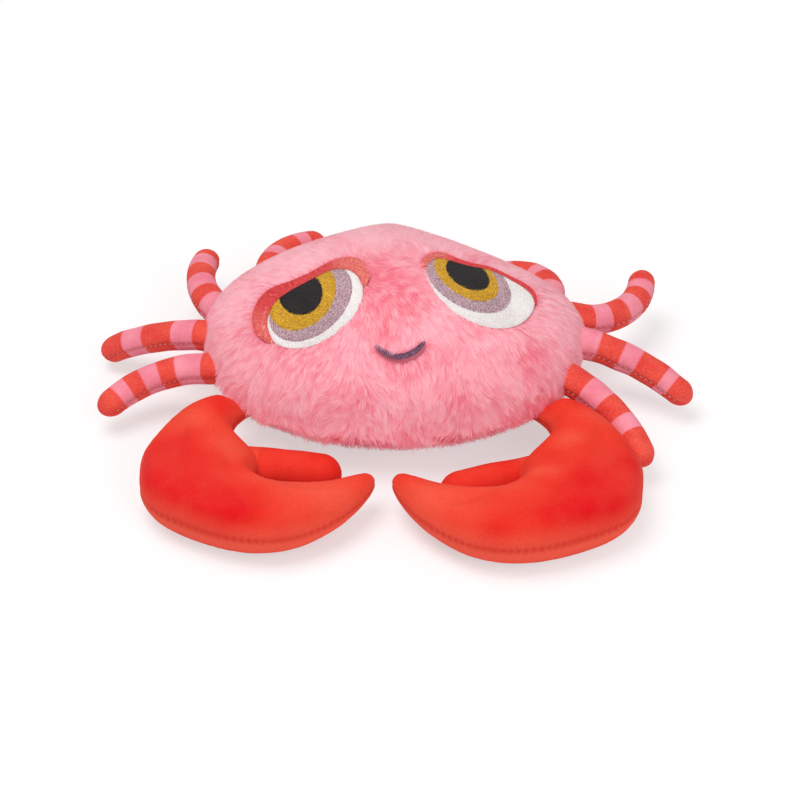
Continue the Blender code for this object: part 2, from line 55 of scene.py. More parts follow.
# The rim from its front, round by the right, in shares of the half width and half depth
BODY_RIM = (
    (0, -1), (0.32, -0.96), (0.57, -0.84), (0.79, -0.66), (0.94, -0.32), (1, 0.08), (0.91, 0.34),
    (0.74, 0.50), (0.49, 0.68), (0.24, 0.88), (-0.01, 1), (-0.25, 0.94), (-0.5, 0.78), (-0.75, 0.59),
    (-0.91, 0.39), (-1, 0.08), (-0.94, -0.32), (-0.79, -0.66), (-0.57, -0.84), (-0.32, -0.96),
)


def smooth_between(before, here, after, second, t):
    """The smooth curve through four knots, at shares t of the way between the middle two."""
    return (here + (after - before) / 2 * t + (2 * before - 5 * here + 4 * after - second) / 2 * t**2
            + (3 * here - before - 3 * after + second) / 2 * t**3)


def travel(line):
    """How far along a line of points each of them is."""
    return np.concatenate([[0], np.cumsum(np.linalg.norm(np.diff(line, axis=0), axis=1))])


def on_line(line, travelled, places):
    """The points of a line at places along it."""
    return np.stack([np.interp(places, travelled, column) for column in line.T], axis=-1)


def smooth_loop(knots, spacing):
    """Points at even spacing along a closed curve that passes smoothly through the knots."""
    knots = np.array(knots, float)
    before, after, second = (np.roll(knots, shift, axis=0) for shift in (1, -1, -2))
    shares = np.linspace(0, 1, 24, endpoint=False)[:, None, None]
    curve = smooth_between(before, knots, after, second, shares).transpose(1, 0, 2).reshape(-1, 2)
    curve = np.vstack([curve, curve[:1]])
    travelled = travel(curve)
    places = np.linspace(0, travelled[-1], round(travelled[-1] / spacing), endpoint=False)
    loop = on_line(curve, travelled, places)
    x, y = loop.T
    return loop if (x * np.roll(y, -1) - y * np.roll(x, -1)).sum() > 0 else loop[::-1]


def nearest_on(loop, points):
    """The nearest point of a closed loop to each point, and how far round the loop it is."""
    side = np.roll(loop, -1, axis=0) - loop
    reach = points[:, None] - loop
    share = np.clip((reach * side).sum(2) / (side * side).sum(1), 0, 1)
    gap = np.linalg.norm(reach - share[..., None] * side, axis=2)
    best = gap.argmin(1)
    rows = np.arange(len(points))
    nearest = loop[best] + share[rows, best][:, None] * side[best]
    return nearest, travel(loop)[best] + share[rows, best] * np.linalg.norm(side[best], axis=1)


def inside(loop, points):
    """Whether each point lies inside a closed loop."""
    x, y = points[:, :1], points[:, 1:]
    x0, y0 = loop[:, 0], loop[:, 1]
    x1, y1 = np.roll(x0, -1), np.roll(y0, -1)
    rise = np.where(y1 == y0, 1, y1 - y0)
    return (((y0 > y) != (y1 > y)) & (x < x0 + (y - y0) * (x1 - x0) / rise)).sum(1) % 2 == 1


def grown(loop, distance):
    """An anticlockwise loop moved outwards by a distance."""
    along = np.roll(loop, -1, axis=0) - np.roll(loop, 1, axis=0)
    along /= np.linalg.norm(along, axis=1)[:, None]
    return loop + distance * np.column_stack([along[:, 1], -along[:, 0]])


def cut_panel(loop, spacing, insets):
    """A flat cloth panel in triangles: its edge, rows of points just inside it, and an even fill."""
    layers = [loop]
    for inset in insets:
        row = grown(loop, -inset)
        nearest, _ = nearest_on(loop, row)
        layers.append(row[inside(loop, row) & (np.linalg.norm(row - nearest, axis=1) > 0.9 * inset)])
    low, high = loop.min(0), loop.max(0)
    rows = np.arange(low[1], high[1], spacing * sin(pi / 3))
    columns = np.arange(low[0], high[0], spacing)
    grid = np.array([(x + spacing / 2 * (row % 2), y) for row, y in enumerate(rows) for x in columns])
    nearest, _ = nearest_on(loop, grid)
    clear = (insets[-1] if insets else 0) + 0.6 * spacing
    layers.append(grid[inside(loop, grid) & (np.linalg.norm(grid - nearest, axis=1) > clear)])
    flat = [Vector(point) for point in np.vstack(layers)]
    found, _, faces, _, _, _ = delaunay_2d_cdt(flat, [], [list(range(len(loop)))], 1, 1e-7)
    return np.array([tuple(point) for point in found]), np.array(faces)


def stuffing_rise(points, faces, edge_count):
    """How high even stuffing lifts a panel that is held along its edge."""
    count = len(points)
    stiffness = np.zeros((count, count))
    load = np.zeros(count)
    corners = points[faces]
    for k in range(3):
        i, j = faces[:, (k + 1) % 3], faces[:, (k + 2) % 3]
        to_i = corners[:, (k + 1) % 3] - corners[:, k]
        to_j = corners[:, (k + 2) % 3] - corners[:, k]
        twice_area = np.abs(to_i[:, 0] * to_j[:, 1] - to_i[:, 1] * to_j[:, 0])
        weight = (to_i * to_j).sum(1) / twice_area / 2
        for row, column, sign in ((i, i, 1), (j, j, 1), (i, j, -1), (j, i, -1)):
            np.add.at(stiffness, (row, column), sign * weight)
        np.add.at(load, faces[:, k], twice_area / 6)
    free = slice(edge_count, count)
    height = np.zeros(count)
    height[free] = np.linalg.solve(stiffness[free, free], load[free])
    return np.sqrt(2 * np.maximum(height, 0))


def sewn_pair(flat, faces, edge_count, top, bottom):
    """Points and faces of two like panels, one over the other, that share their edge as a seam."""
    shift = len(flat) - edge_count
    points = np.vstack([np.column_stack([flat, top]), np.column_stack([flat, bottom])[edge_count:]])
    under = np.where(faces >= edge_count, faces + shift, faces)
    return points, np.vstack([faces, under[:, ::-1]])


def normals_of(points, faces):
    """The way that the cloth faces at each point."""
    corners = points[faces]
    across = np.cross(corners[:, 1] - corners[:, 0], corners[:, 2] - corners[:, 0])
    normals = np.zeros_like(points)
    for k in range(3):
        np.add.at(normals, faces[:, k], across)
    return normals / np.linalg.norm(normals, axis=1)[:, None]


body_rim = smooth_loop([(x * BODY_WIDTH / 2, y * BODY_DEPTH / 2) for x, y in BODY_RIM], CLOTH_SPACING)
body_flat, body_faces = cut_panel(body_rim, CLOTH_SPACING, (0.0010, 0.0028))
body_rise = stuffing_rise(body_flat, body_faces, len(body_rim))
body_rise /= body_rise.max()
pile_top, body_skin = sewn_pair(
    body_flat, body_faces, len(body_rim),
    RIM_HEIGHT + BACK_RISE * body_rise, np.maximum(RIM_HEIGHT - BELLY_DROP * body_rise, 0),
)
body_normals = normals_of(pile_top, body_skin)


# Embroidered eyes
# Each eye is four fields of thread, sewn straight onto the body cloth before it is stuffed: white, a mauve
# ring, a gold iris and a black pupil. The thread runs round each field in short fill stitches.
FACE_LEAN = 40.0
PILE_OVER_THREAD = 0.0038
THREAD_DEPTH = 0.0012
STITCH_PITCH = 0.00042
STITCH_LENGTH = 0.0013
STITCH_WIDTH = 0.00050
STITCH_RISE = 0.00016
FIELD_STEP = 0.00012
FIELD_SINK = 0.0002
PAD_SINK = 0.00004

# Middles of the eyes, in shares of the body's half width and half depth on the chart of the face
EYE_PLACES = {"left": (-0.402, 0.205), "right": (0.436, 0.393)}

# Ellipses of thread around the middle of the eye: place, radii and tilt, in millimetres and degrees
Field = namedtuple("Field", "name across up wide high tilt")
EYE_FIELDS = {
    "left": (
        Field("eye_white", 0, 0, 25.8, 16.7, 34),
        Field("eye_ring", -2.0, 2.8, 23.0, 16.0, 42),
        Field("iris", -6.3, 5.9, 18.6, 15.0, 50),
        Field("pupil", -6.9, 7.0, 10.8, 10.8, 0),
    ),
    "right": (
        Field("eye_white", 0, 0, 30.2, 20.9, -34),
        Field("eye_ring", -5.3, -0.5, 22.9, 13.5, -30),
        Field("iris", -6.1, 2.1, 17.5, 10.5, -34),
        Field("pupil", -5.4, 2.9, 11.6, 7.2, -30),
    ),
}

# An eyelid's lower edge from its outer to its inner corner, and the lid's width there, in millimetres
LID_KNOTS = {
    "left": (
        (-19.6, -17.2, 1.8), (-22.6, -9.4, 7.0), (-22.1, -2.4, 8.0), (-18.2, 4.0, 7.1), (-10.0, 9.6, 4.4),
        (0.0, 15.0, 3.6), (8.0, 18.8, 4.4), (15.5, 18.9, 6.8), (20.5, 15.6, 7.4), (23.4, 9.6, 1.2),
    ),
    "right": (
        (27.6, -12.6, 0.8), (25.8, -7.0, 2.2), (21.7, -3.2, 2.2), (15.7, 0.4, 1.8), (6.2, 5.0, 1.8),
        (-4.1, 7.0, 2.0), (-12.0, 9.2, 2.4), (-18.9, 10.9, 3.4), (-24.0, 8.8, 3.6), (-26.3, 4.5, 1.2),
    ),
}

# Colours of each thread, dark and light: the two ends of its painted glint
THREAD_COLOURS = {
    "eye_white": ("E6DDDB", "FCF8F6"), "eye_ring": ("8A5868", "E6CCD2"), "iris": ("AC7204", "F2C436"),
    "pupil": ("060505", "30282A"),
}

ACROSS = np.array([1, 0, 0])
UPWARD = np.array([0, sin(radians(FACE_LEAN)), cos(radians(FACE_LEAN))])
FACING = np.array([0, -cos(radians(FACE_LEAN)), sin(radians(FACE_LEAN))])
pile_tree = BVHTree.FromPolygons([Vector(point) for point in pile_top], body_skin.tolist())


def chart_place(place):
    """A place in shares of the body's half sizes, as a spot on the flat chart of the face."""
    rim_up = RIM_HEIGHT * cos(radians(FACE_LEAN))
    return np.array([place[0] * BODY_WIDTH / 2, place[1] * BODY_DEPTH / 2 + rim_up])


def on_face(spots, depth):
    """Points under the top of the pile at spots of the chart, each at its own depth."""
    found = []
    middle = chart_place((0, 0))
    for spot in spots:
        for share in np.linspace(1, 0, 40):
            at = middle + (spot - middle) * share
            start = Vector(ACROSS * at[0] + UPWARD * at[1] + FACING * 0.5)
            hit = pile_tree.ray_cast(start, -Vector(FACING))[0]
            if hit:
                break
        found.append(tuple(hit))
    return np.array(found) - FACING * np.reshape(depth, (-1, 1))


def oval(field, middle, shrink=0.0, count=120):
    """The outline of a field on the chart, moved in by a distance."""
    turn = 2 * pi * np.arange(count) / count
    wide, high = field.wide / 1000 - shrink, field.high / 1000 - shrink
    x, y = wide * np.cos(turn), high * np.sin(turn)
    tilt = radians(field.tilt)
    across = field.across / 1000 + x * cos(tilt) - y * sin(tilt)
    up = field.up / 1000 + x * sin(tilt) + y * cos(tilt)
    return middle + np.column_stack([across, up])


def lid_lines(side):
    """The lower and the upper edge of an eyelid on the chart, from its outer to its inner corner."""
    knots = np.array(LID_KNOTS[side]) / 1000
    places = np.linspace(0, len(knots) - 1, 8 * len(knots))
    padded = np.vstack([2 * knots[0] - knots[1], knots, 2 * knots[-1] - knots[-2]])
    spans = np.minimum(places.astype(int), len(knots) - 2)
    line = smooth_between(*(padded[spans + k] for k in range(4)), (places - spans)[:, None])
    lower, width = line[:, :2], line[:, 2:]
    along = np.gradient(lower, axis=0)
    along /= np.linalg.norm(along, axis=1)[:, None]
    away = np.column_stack([-along[:, 1], along[:, 0]])
    if (away * lower).sum() < 0:
        away = -away
    middle = chart_place(EYE_PLACES[side])
    return middle + lower, middle + lower + away * np.maximum(width, 0.0008)


def lid_cover(side):
    """All of the chart that the lid and the pile over it hide from the eye."""
    lower, upper = lid_lines(side)
    outwards = np.sign(lower[0, 0] - lower[-1, 0]) * np.array([0.03, 0])
    edge = lower * 0.35 + upper * 0.65
    upwards = np.array([0, 0.06])
    first, last = edge[0] + outwards, edge[-1] - outwards
    return np.vstack([edge, last, last + upwards, first + upwards, first])


def stitch_faces(count):
    """Quads and end caps of closed stitches, each of three rings of three points."""
    bands = np.array([(0, 3, 4, 1), (1, 4, 5, 2), (2, 5, 3, 0)])
    offsets = 9 * np.arange(count)[:, None, None]
    quads = np.vstack([bands, bands + 3]) + offsets
    return quads.reshape(-1, 4), (np.array([(0, 1, 2), (8, 7, 6)]) + offsets).reshape(-1, 3)


def stitches(starts, ends, depth, rise, width):
    """Short raised threads over the face, from each start to its end on the chart."""
    along = ends - starts
    along /= np.linalg.norm(along, axis=1)[:, None]
    sideways = (-along[:, 1:] * ACROSS + along[:, :1] * UPWARD) * width / 2
    rings = []
    for step, share in ((-0.06, 0.55), (0.5, 1.0), (1.06, 0.55)):
        centre = on_face(starts + (ends - starts) * step, depth)
        top = centre + FACING * rise * (0.35 + 0.65 * share)
        low = centre - FACING * rise
        rings.append(np.stack([low - sideways * share, top, low + sideways * share], axis=1))
    quads, caps = stitch_faces(len(starts))
    return np.stack(rings, axis=1).reshape(-1, 3), quads.tolist() + caps.tolist()


def thread_pad(loop, top, bottom):
    """A thin pad of laid thread with an outline on the chart, between two depths."""
    flat, faces = cut_panel(loop, 0.0022, ())
    points = np.vstack([on_face(flat, top), on_face(flat, bottom)])
    count, edge = len(flat), len(loop)
    sides = [(k, k + count, (k + 1) % edge + count, (k + 1) % edge) for k in range(edge)]
    return points, faces.tolist() + (faces[:, ::-1] + count).tolist() + sides


def dye(code):
    """A colour written as on a dye card, as a render colour."""
    levels = np.array([int(code[place:place + 2], 16) for place in (0, 2, 4)]) / 255
    return (*np.where(levels > 0.04045, ((levels + 0.055) / 1.055) ** 2.4, levels / 12.92), 1)


class Finish:
    """The finish of a piece, or of the studio round it, as nodes."""

    def __init__(self, tree):
        self.tree = tree

    def give(self, node, inputs):
        """Sets a node's inputs, each to a value or to another node's output."""
        for place, given in inputs.items():
            if isinstance(given, bpy.types.NodeSocket):
                self.tree.links.new(given, node.inputs[place])
            else:
                node.inputs[place].default_value = given

    def add(self, kind, inputs, **settings):
        """A new node, and its outputs."""
        node = self.tree.nodes.new("ShaderNode" + kind)
        for setting, value in settings.items():
            setattr(node, setting, value)
        self.give(node, inputs)
        return node.outputs

    def mixed(self, amount, plain, other, end):
        """Sends a mix of two shaders by an amount to the node at the end."""
        mix = self.add("MixShader", {"Fac": amount, 1: plain, 2: other})
        self.give(self.tree.nodes[end], {"Surface": mix["Shader"]})

    def product(self, *factors):
        """The product of two values."""
        return self.add("Math", dict(enumerate(factors)), operation="MULTIPLY")["Value"]


class Stuff(Finish):
    """Thread, pile, velour or paper: a new material of one shader."""

    def __init__(self, name, roughness, sheen=0.0, sheen_tint="FFFFFF", gloss=0.2):
        self.made = bpy.data.materials.new(name)
        self.made.use_nodes = True
        super().__init__(self.made.node_tree)
        self.shader = self.tree.nodes["Principled BSDF"]
        self.give(self.shader, {
            "Roughness": roughness, "Specular IOR Level": gloss, "Sheen Weight": sheen,
            "Sheen Roughness": 0.4, "Sheen Tint": dye(sheen_tint),
        })

    def noise(self, scale, detail):
        """Noise in the piece's own coordinates."""
        place = self.add("TexCoord", {})["Object"]
        return self.add("TexNoise", {"Vector": place, "Scale": scale, "Detail": detail})["Fac"]

    def blotches(self, scale, detail, low, high, most=1.0):
        """A soft noise, stretched from between low and high to between 0 and the most."""
        span = {"From Min": low, "From Max": high, "To Max": most}
        return self.add("MapRange", {"Value": self.noise(scale, detail), **span})["Result"]

    def blend(self, amount, first, second, kind="MIX"):
        """A mix of two colours by an amount."""
        return self.add("Mix", {0: amount, 6: first, 7: second}, data_type="RGBA", blend_type=kind)[2]

    def tones(self):
        """The red, green and blue values that are stored at the points of a piece."""
        stored = self.add("Attribute", {}, attribute_name="tone")["Color"]
        return self.add("SeparateColor", {"Color": stored})

    def finish(self, colour, scale=None, depth=0.0):
        """Sets the colour, and a fine relief of the cloth at a scale and depth."""
        self.give(self.shader, {"Base Color": colour})
        if scale:
            relief = self.add("Bump", {"Distance": depth, "Height": self.noise(scale, 3)})
            self.give(self.shader, {"Normal": relief["Normal"]})
        return self.made


def mesh_piece(name, points, faces, material=None):
    """A smooth-shaded piece from points and faces."""
    mesh = bpy.data.meshes.new(name)
    mesh.from_pydata(np.asarray(points, float).tolist(), [], [list(map(int, face)) for face in faces])
    mesh.shade_smooth()
    made = bpy.data.objects.new(name, mesh)
    bpy.context.scene.collection.objects.link(made)
    if material:
        mesh.materials.append(material)
    return made


def tinted(piece, tones):
    """Stores a value between 0 and 1 at each point, for the material to mix colours by."""
    layer = piece.data.color_attributes.new("tone", "FLOAT_COLOR", "POINT")
    values = np.ones((len(piece.data.vertices), 4))
    values[:, :tones.shape[1]] = tones
    layer.data.foreach_set("color", values.ravel())


def thread(name, dark, light, other=None):
    """Embroidery thread with a painted glint from stitch to stitch, and another pair of tones by zone."""
    stuff = Stuff(name, 0.5, 0.1, gloss=0.25)
    stitch_tone, zone, _ = stuff.tones()
    glint = stuff.blend(0.65, stitch_tone, stuff.blotches(1500, 1, 0.36, 0.64))
    colour = stuff.blend(glint, dye(dark), dye(light))
    if other:
        colour = stuff.blend(zone, colour, stuff.blend(glint, dye(other[0]), dye(other[1])))
    return stuff.finish(colour, 3500, 0.00008)


def round_rows(field, middle, keep):
    """Fill stitches that run round a field in rows, brick fashion, kept where they are wanted."""
    starts, ends = [], []
    rows = int(min(field.wide, field.high) / 1000 / STITCH_PITCH)
    for row in range(rows):
        loop = oval(field, middle, (row + 0.5) * STITCH_PITCH, 240)
        line = np.vstack([loop, loop[:1]])
        travelled = travel(line)
        count = max(3, round(travelled[-1] / STITCH_LENGTH))
        phase = random.uniform(0, 1)
        shares = (np.arange(count + 1) + phase + random.uniform(-0.3, 0.3, count + 1)) / count
        places = shares * travelled[-1]
        points = on_line(line, travelled, places % travelled[-1])
        starts.append(points[:-1])
        ends.append(points[1:])
    starts, ends = np.vstack(starts), np.vstack(ends)
    kept = keep((starts + ends) / 2) & (np.linalg.norm(ends - starts, axis=1) > STITCH_LENGTH / 4)
    return starts[kept], ends[kept]


def joined(*parts):
    """Points and faces of several parts as one."""
    points, faces, shift = [], [], 0
    for part_points, part_faces in parts:
        points.append(part_points)
        faces += [[corner + shift for corner in face] for face in part_faces]
        shift += len(part_points)
    return np.vstack(points), faces


def embroider(name, pad, rows, material, zone=None, per_stitch=9):
    """One field of thread: the pad of under stitches and the rows over it."""
    piece = mesh_piece(name + "_thread", *joined(pad, rows), material)
    pad_count, row_count = len(pad[0]), len(rows[0]) // per_stitch
    zone = np.full(row_count, 0.0) if zone is None else zone
    tones = [np.concatenate([np.full(pad_count, low), np.repeat(values, per_stitch)])
             for low, values in ((0.3, random.uniform(0, 1, row_count)), (zone.mean(), zone))]
    tinted(piece, np.column_stack(tones))
    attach(piece, "root")
    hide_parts(name)
    return piece


for side, fields in EYE_FIELDS.items():
    middle = chart_place(EYE_PLACES[side])
    cover = lid_cover(side)
    eye_loop = oval(fields[0], middle)
    for order, field in enumerate(fields):
        own = oval(field, middle)
        inner = oval(fields[order + 1], middle, 0.0005) if order < 3 else None

        def wanted(spots):
            kept = inside(eye_loop, spots) & ~inside(cover, spots)
            return kept & ~inside(inner, spots) if inner is not None else kept

        top = PILE_OVER_THREAD + FIELD_SINK - order * FIELD_STEP
        starts, ends = round_rows(field, middle, wanted)
        rows = stitches(starts, ends, top, STITCH_RISE, STITCH_WIDTH)
        pad_loop = own.copy()
        out = ~inside(eye_loop, pad_loop)
        pad_loop[out] = nearest_on(eye_loop, pad_loop[out])[0]
        hidden = inside(cover, pad_loop)
        pad_loop[hidden] = nearest_on(cover, pad_loop[hidden])[0]
        pad_loop = smooth_loop(pad_loop, 0.0015)
        pad = thread_pad(pad_loop, top + PAD_SINK, PILE_OVER_THREAD + THREAD_DEPTH)
        stuff = thread(field.name + "_thread_" + side, *THREAD_COLOURS[field.name])
        embroider(field.name + "_" + side, pad, rows, stuff)


# Eyelids
# Each lid is a band of red thread along the top of the eye, sewn after the eye and a little prouder. Red
# satin fills its middle, and coral thread its ends, in rows that run along the band.
LID_OVER_EYE = 0.0005
LID_RED = ("CE1C28", "E83A42")
LID_CORAL = ("DE4A44", "F8A898")

# Where along a lid the coral ends, and where it starts again, in shares from the outer corner
LID_CORAL_ENDS = {"left": (0.24, 0.66), "right": (-0.2, 0.70)}


def band_rows(lower, upper, pitch, length):
    """Fill stitches in rows along a band between two lines on the chart, and their shares along it."""
    middle = (lower + upper) / 2
    travelled = travel(middle)
    width = np.linalg.norm(upper - lower, axis=1)
    starts, ends, shares = [], [], []
    place = 0.0
    while place < travelled[-1] - length / 2:
        here = np.interp(place, travelled, width)
        for row in range(max(2, round(here / pitch))):
            across = (row + 0.5) / max(2, round(here / pitch))
            first = place + random.uniform(-0.5, 0.5) * length
            spots = []
            for at in (first, first + length):
                at = min(max(at, 0), travelled[-1])
                low, high = (on_line(line, travelled, at) for line in (lower, upper))
                spots.append(low + (high - low) * across)
            if np.linalg.norm(spots[1] - spots[0]) > length / 3:
                starts.append(spots[0])
                ends.append(spots[1])
                shares.append(place / travelled[-1])
        place += length
    return np.array(starts), np.array(ends), np.array(shares)


for side in ("left", "right"):
    lower, upper = lid_lines(side)
    starts, ends, shares = band_rows(lower, upper, STITCH_PITCH, STITCH_LENGTH)
    rows = stitches(starts, ends, PILE_OVER_THREAD - LID_OVER_EYE, STITCH_RISE, STITCH_WIDTH)
    outer, inner = LID_CORAL_ENDS[side]
    coral = np.clip((outer - shares) / 0.1, 0, 1) * 0.75 + np.clip((shares - inner) / 0.1, 0, 1)
    lid_loop = smooth_loop([*lower[::4], *upper[::-4]], 0.0015)
    pad = thread_pad(lid_loop, PILE_OVER_THREAD - LID_OVER_EYE + PAD_SINK, PILE_OVER_THREAD + 0.002)
    lid_stuff = thread("lid_thread_" + side, *LID_RED, LID_CORAL)
    embroider("eyelid_" + side, pad, rows, lid_stuff, np.clip(coral, 0, 1))


# Mouth
# The smile is one line of thick satin stitch in plum thread, pulled down into the pile.
MOUTH_PLACE = (0.037, -0.117)
MOUTH_SPAN = 0.0235
MOUTH_SAG = 0.0062
MOUTH_TILT = 4.0
MOUTH_WIDTH = 0.0028
MOUTH_DEPTH = 0.0010
MOUTH_STITCH_LENGTH = 0.0018
MOUTH_STITCH_RISE = 0.0003
MOUTH_COLOURS = ("643453", "A87C98")

shares = np.linspace(-1, 1, 41)
smile = np.column_stack([shares * MOUTH_SPAN / 2, MOUTH_SAG * shares**2])
along = np.gradient(smile, axis=0)
along /= np.linalg.norm(along, axis=1)[:, None]
half_band = MOUTH_WIDTH / 2 * (1 - 0.6 * shares[:, None] ** 6)
aside = np.column_stack([-along[:, 1], along[:, 0]]) * half_band
tilt = radians(MOUTH_TILT)
turned = np.array([[cos(tilt), sin(tilt)], [-sin(tilt), cos(tilt)]])
mouth_lower = chart_place(MOUTH_PLACE) + (smile - aside) @ turned
mouth_upper = chart_place(MOUTH_PLACE) + (smile + aside) @ turned
starts, ends, _ = band_rows(mouth_lower, mouth_upper, STITCH_PITCH, MOUTH_STITCH_LENGTH)
rows = stitches(starts, ends, MOUTH_DEPTH, MOUTH_STITCH_RISE, STITCH_WIDTH)
mouth_loop = smooth_loop([*mouth_lower[::3], *mouth_upper[::-3]], 0.0009)
pad = thread_pad(mouth_loop, MOUTH_DEPTH + 0.0001, PILE_OVER_THREAD + 0.001)
embroider("mouth", pad, rows, thread("mouth_thread", *MOUTH_COLOURS))


# Body pile
# The cloth carries long, soft polyester pile over a dense ground. It is brushed outwards from the middle of
# the face, lies smooth over the back, parts into locks over the front, and banks up round the embroidery.
FACE_STRANDS = 45000
BACK_SPIKES = 70000
BELLY_SPIKES = 10000
PILE_DEPTH = 0.0042
GROUND_DEPTH = 0.0028
GROUND_MARGIN = 0.0008
GROUND_BANK = 0.0050
PILE_LENGTH = 0.0085
STRAND_WIDTH = 0.00047

# Locks: their spacing, and how far the pile's tips and middles gather into them, at the back and in front
LOCK_SPACING = 0.0021
TIP_GATHER = (0.12, 0.50)
MIDDLE_GATHER = (0.05, 0.20)

# How far up the chart the pile changes from lying loose in front to lying smooth on the back
FRONT_FADE = 0.09

# The pile's colour from root to tip: darker towards the root as painted shade between the strands
PILE_ROOT_SHADE_TO_TIP = ("F0647A", "F68A9B", "FBA9B5")
PILE_STOPS = (0.05, 0.5, 1.0)
# Paler pile, for paleness at random and for painted light on the top of the back; and rosier pile
PALE_PILE_AND_TOP_LIGHT = "FEBCC6"
ROSY_PILE = "EE6E80"
CLEAR_OF_FLOOR = 0.0004
ROOT_DEPTH = 0.0004
FACE_EDGE = 0.012
STRIP_EDGES = (-0.028, 0.028)

# The pile keeps off the embroidery, and within the fence's width of it turns away from it
EYE_OVERLAP = 0.0006
LID_OVERLAP = 0.0003
MOUTH_MARGIN = 0.0008
FENCE = 0.0035

# The parting that the pile is brushed away from, on the chart, in shares of the body's half sizes. Within
# its reach the pile stands up and turns along it.
PARTING = ((-0.08, 0.46), (0.12, 0.50))
PARTING_REACH = 0.016
PARTING_TURN = 1.35

# Where the pile is redder: beside the right claw, and between the eyes, on the chart
RED_MIDDLE = (0.072, -0.050, 0.030)
RED_SPREAD = 0.015
ROSY_MIDDLE = (0.0, 0.30)
ROSY_SPREAD = 0.019

# Longer pile: a tuft at the top of the back, on the chart, and ragged tufts along the rim
TUFT = (0.0, 0.97)
TUFT_SPREAD = 0.016
TUFT_RISE = 0.0024
RIM_TUFTS = 0.0045
RIM_TUFT_SPREAD = 0.014


def eased(share):
    """A share between 0 and 1, with a soft start and end."""
    return share * share * (3 - 2 * share)


def ripple(points, size, seed):
    """A smooth random value between about -1 and 1 that changes over a size."""
    draw = np.random.default_rng(seed)
    ways = draw.normal(size=(7, 3))
    ways *= (2 * pi / size * draw.uniform(0.6, 1.4, 7) / np.linalg.norm(ways, axis=1))[:, None]
    return np.sin(points @ ways.T + draw.uniform(0, 2 * pi, 7)).sum(1) / 3.2


def near_spot(points, spot, spread):
    """How near each point is to a spot, from 0 far away to 1 there."""
    return np.exp(-((np.linalg.norm(points - spot, axis=1) / spread) ** 2))


def roots_on(points, faces, values, wanted, count):
    """Evenly spread random points on the wanted faces, with the values of the corners mixed there."""
    chosen = faces[wanted]
    corners = points[chosen]
    area = np.linalg.norm(np.cross(corners[:, 1] - corners[:, 0], corners[:, 2] - corners[:, 0]), axis=1)
    places = (np.arange(count) + random.uniform(0, 1, count)) / count * area.sum()
    face = np.searchsorted(np.cumsum(area), places).clip(0, len(area) - 1)
    u, v = random.uniform(0, 1, (2, count, 1))
    folded = u + v > 1
    u, v = np.where(folded, 1 - u, u), np.where(folded, 1 - v, v)
    shares = ((chosen[face, 0], 1 - u - v), (chosen[face, 1], u), (chosen[face, 2], v))
    return tuple(sum(given[corner] * share for corner, share in shares) for given in (points, values))


def flattened(ways, normals):
    """Directions laid into the surface, at unit length."""
    ways = ways - (ways * normals).sum(1)[:, None] * normals
    return ways / np.maximum(np.linalg.norm(ways, axis=1), 1e-9)[:, None]


def to_front(roots, start):
    """How far each root is to the front of the body, from 0 on the back to 1."""
    return np.clip(start - (roots @ UPWARD) / FRONT_FADE, 0, 1)


def brushed(roots, normals):
    """The way that the pile is brushed at each root, and how much it stands up, nearest the parting."""
    high, low = (on_face([chart_place(place)], 0)[0] for place in PARTING)
    share = np.clip((roots - high) @ (low - high) / ((low - high) @ (low - high)), 0, 1)
    from_parting = roots - (high + share[:, None] * (low - high))
    upright = np.exp(-((np.linalg.norm(from_parting, axis=1) / PARTING_REACH) ** 2))
    ways = flattened(from_parting, normals)
    aside = np.cross(normals, ways)
    swirl = 0.20 + 0.55 * to_front(roots, 0.55) + 0.3 * upright
    turn = swirl * (ripple(roots, 0.034, 3) + 0.55 * ripple(roots, 0.011, 4)) + PARTING_TURN * upright
    turn = turn[:, None]
    return ways * np.cos(turn) + aside * np.sin(turn), upright


def on_chart(points):
    """Where points of the body are on the chart of the face."""
    return np.column_stack([points @ ACROSS, points @ UPWARD])


def kept_off(roots, normals, ways, loops):
    """Drops roots under the embroidery, and turns the pile beside it away from its edge."""
    in_front = normals @ FACING > 0.05
    chart = on_chart(roots)
    keep = np.ones(len(roots), bool)
    lean = np.ones(len(roots))
    for loop in loops:
        reach = np.ptp(loop, axis=0).max() / 2 + 2 * FENCE
        near = np.where(in_front & (np.linalg.norm(chart - loop.mean(0), axis=1) < reach))[0]
        within = inside(loop, chart[near])
        keep[near[within]] = False
        near = near[~within]
        closest, _ = nearest_on(loop, chart[near])
        away = chart[near] - closest
        gap = np.linalg.norm(away, axis=1)
        outwards = away / np.maximum(gap, 1e-9)[:, None]
        outwards = flattened(outwards[:, :1] * ACROSS + outwards[:, 1:] * UPWARD, normals[near])
        pull = np.clip(1 - gap / FENCE, 0, 1)[:, None]
        inwards = np.minimum((ways[near] * outwards).sum(1), 0)[:, None]
        turned = ways[near] - outwards * inwards * pull**0.5 + outwards * pull * 0.4
        ways[near] = flattened(turned, normals[near])
        lean[near] = np.minimum(lean[near], 1 - 0.3 * pull[:, 0])
    return keep, ways, lean


def strand_mesh(rings, tips, normals, width):
    """Closed three-sided strands, each from one or two rings, given by centre and size, to a point."""
    along = tips - rings[0][0]
    aside = np.cross(along, normals)
    aside /= np.linalg.norm(aside, axis=1)[:, None]
    across = np.cross(aside, along)
    across /= np.linalg.norm(across, axis=1)[:, None]
    corners = [centres + (aside * cos(turn) + 0.6 * across * sin(turn)) * (width * size)[:, None]
               for centres, size in rings for turn in (pi / 2, pi * 7 / 6, pi * 11 / 6)]
    points = np.stack([*corners, tips], axis=1).reshape(-1, 3)
    tip = len(corners)
    a, b, c = range(tip - 3, tip)
    walls = np.array([(3, 4, 1, 0), (4, 5, 2, 1), (5, 3, 0, 2)][:a]).reshape(-1, 4)
    ends = np.array([(0, 1, 2), (tip, b, a), (tip, c, b), (tip, a, c)])
    offsets = (tip + 1) * np.arange(len(tips))[:, None, None]
    return points, (walls + offsets).reshape(-1, 4).astype(int), (ends + offsets).reshape(-1, 3)


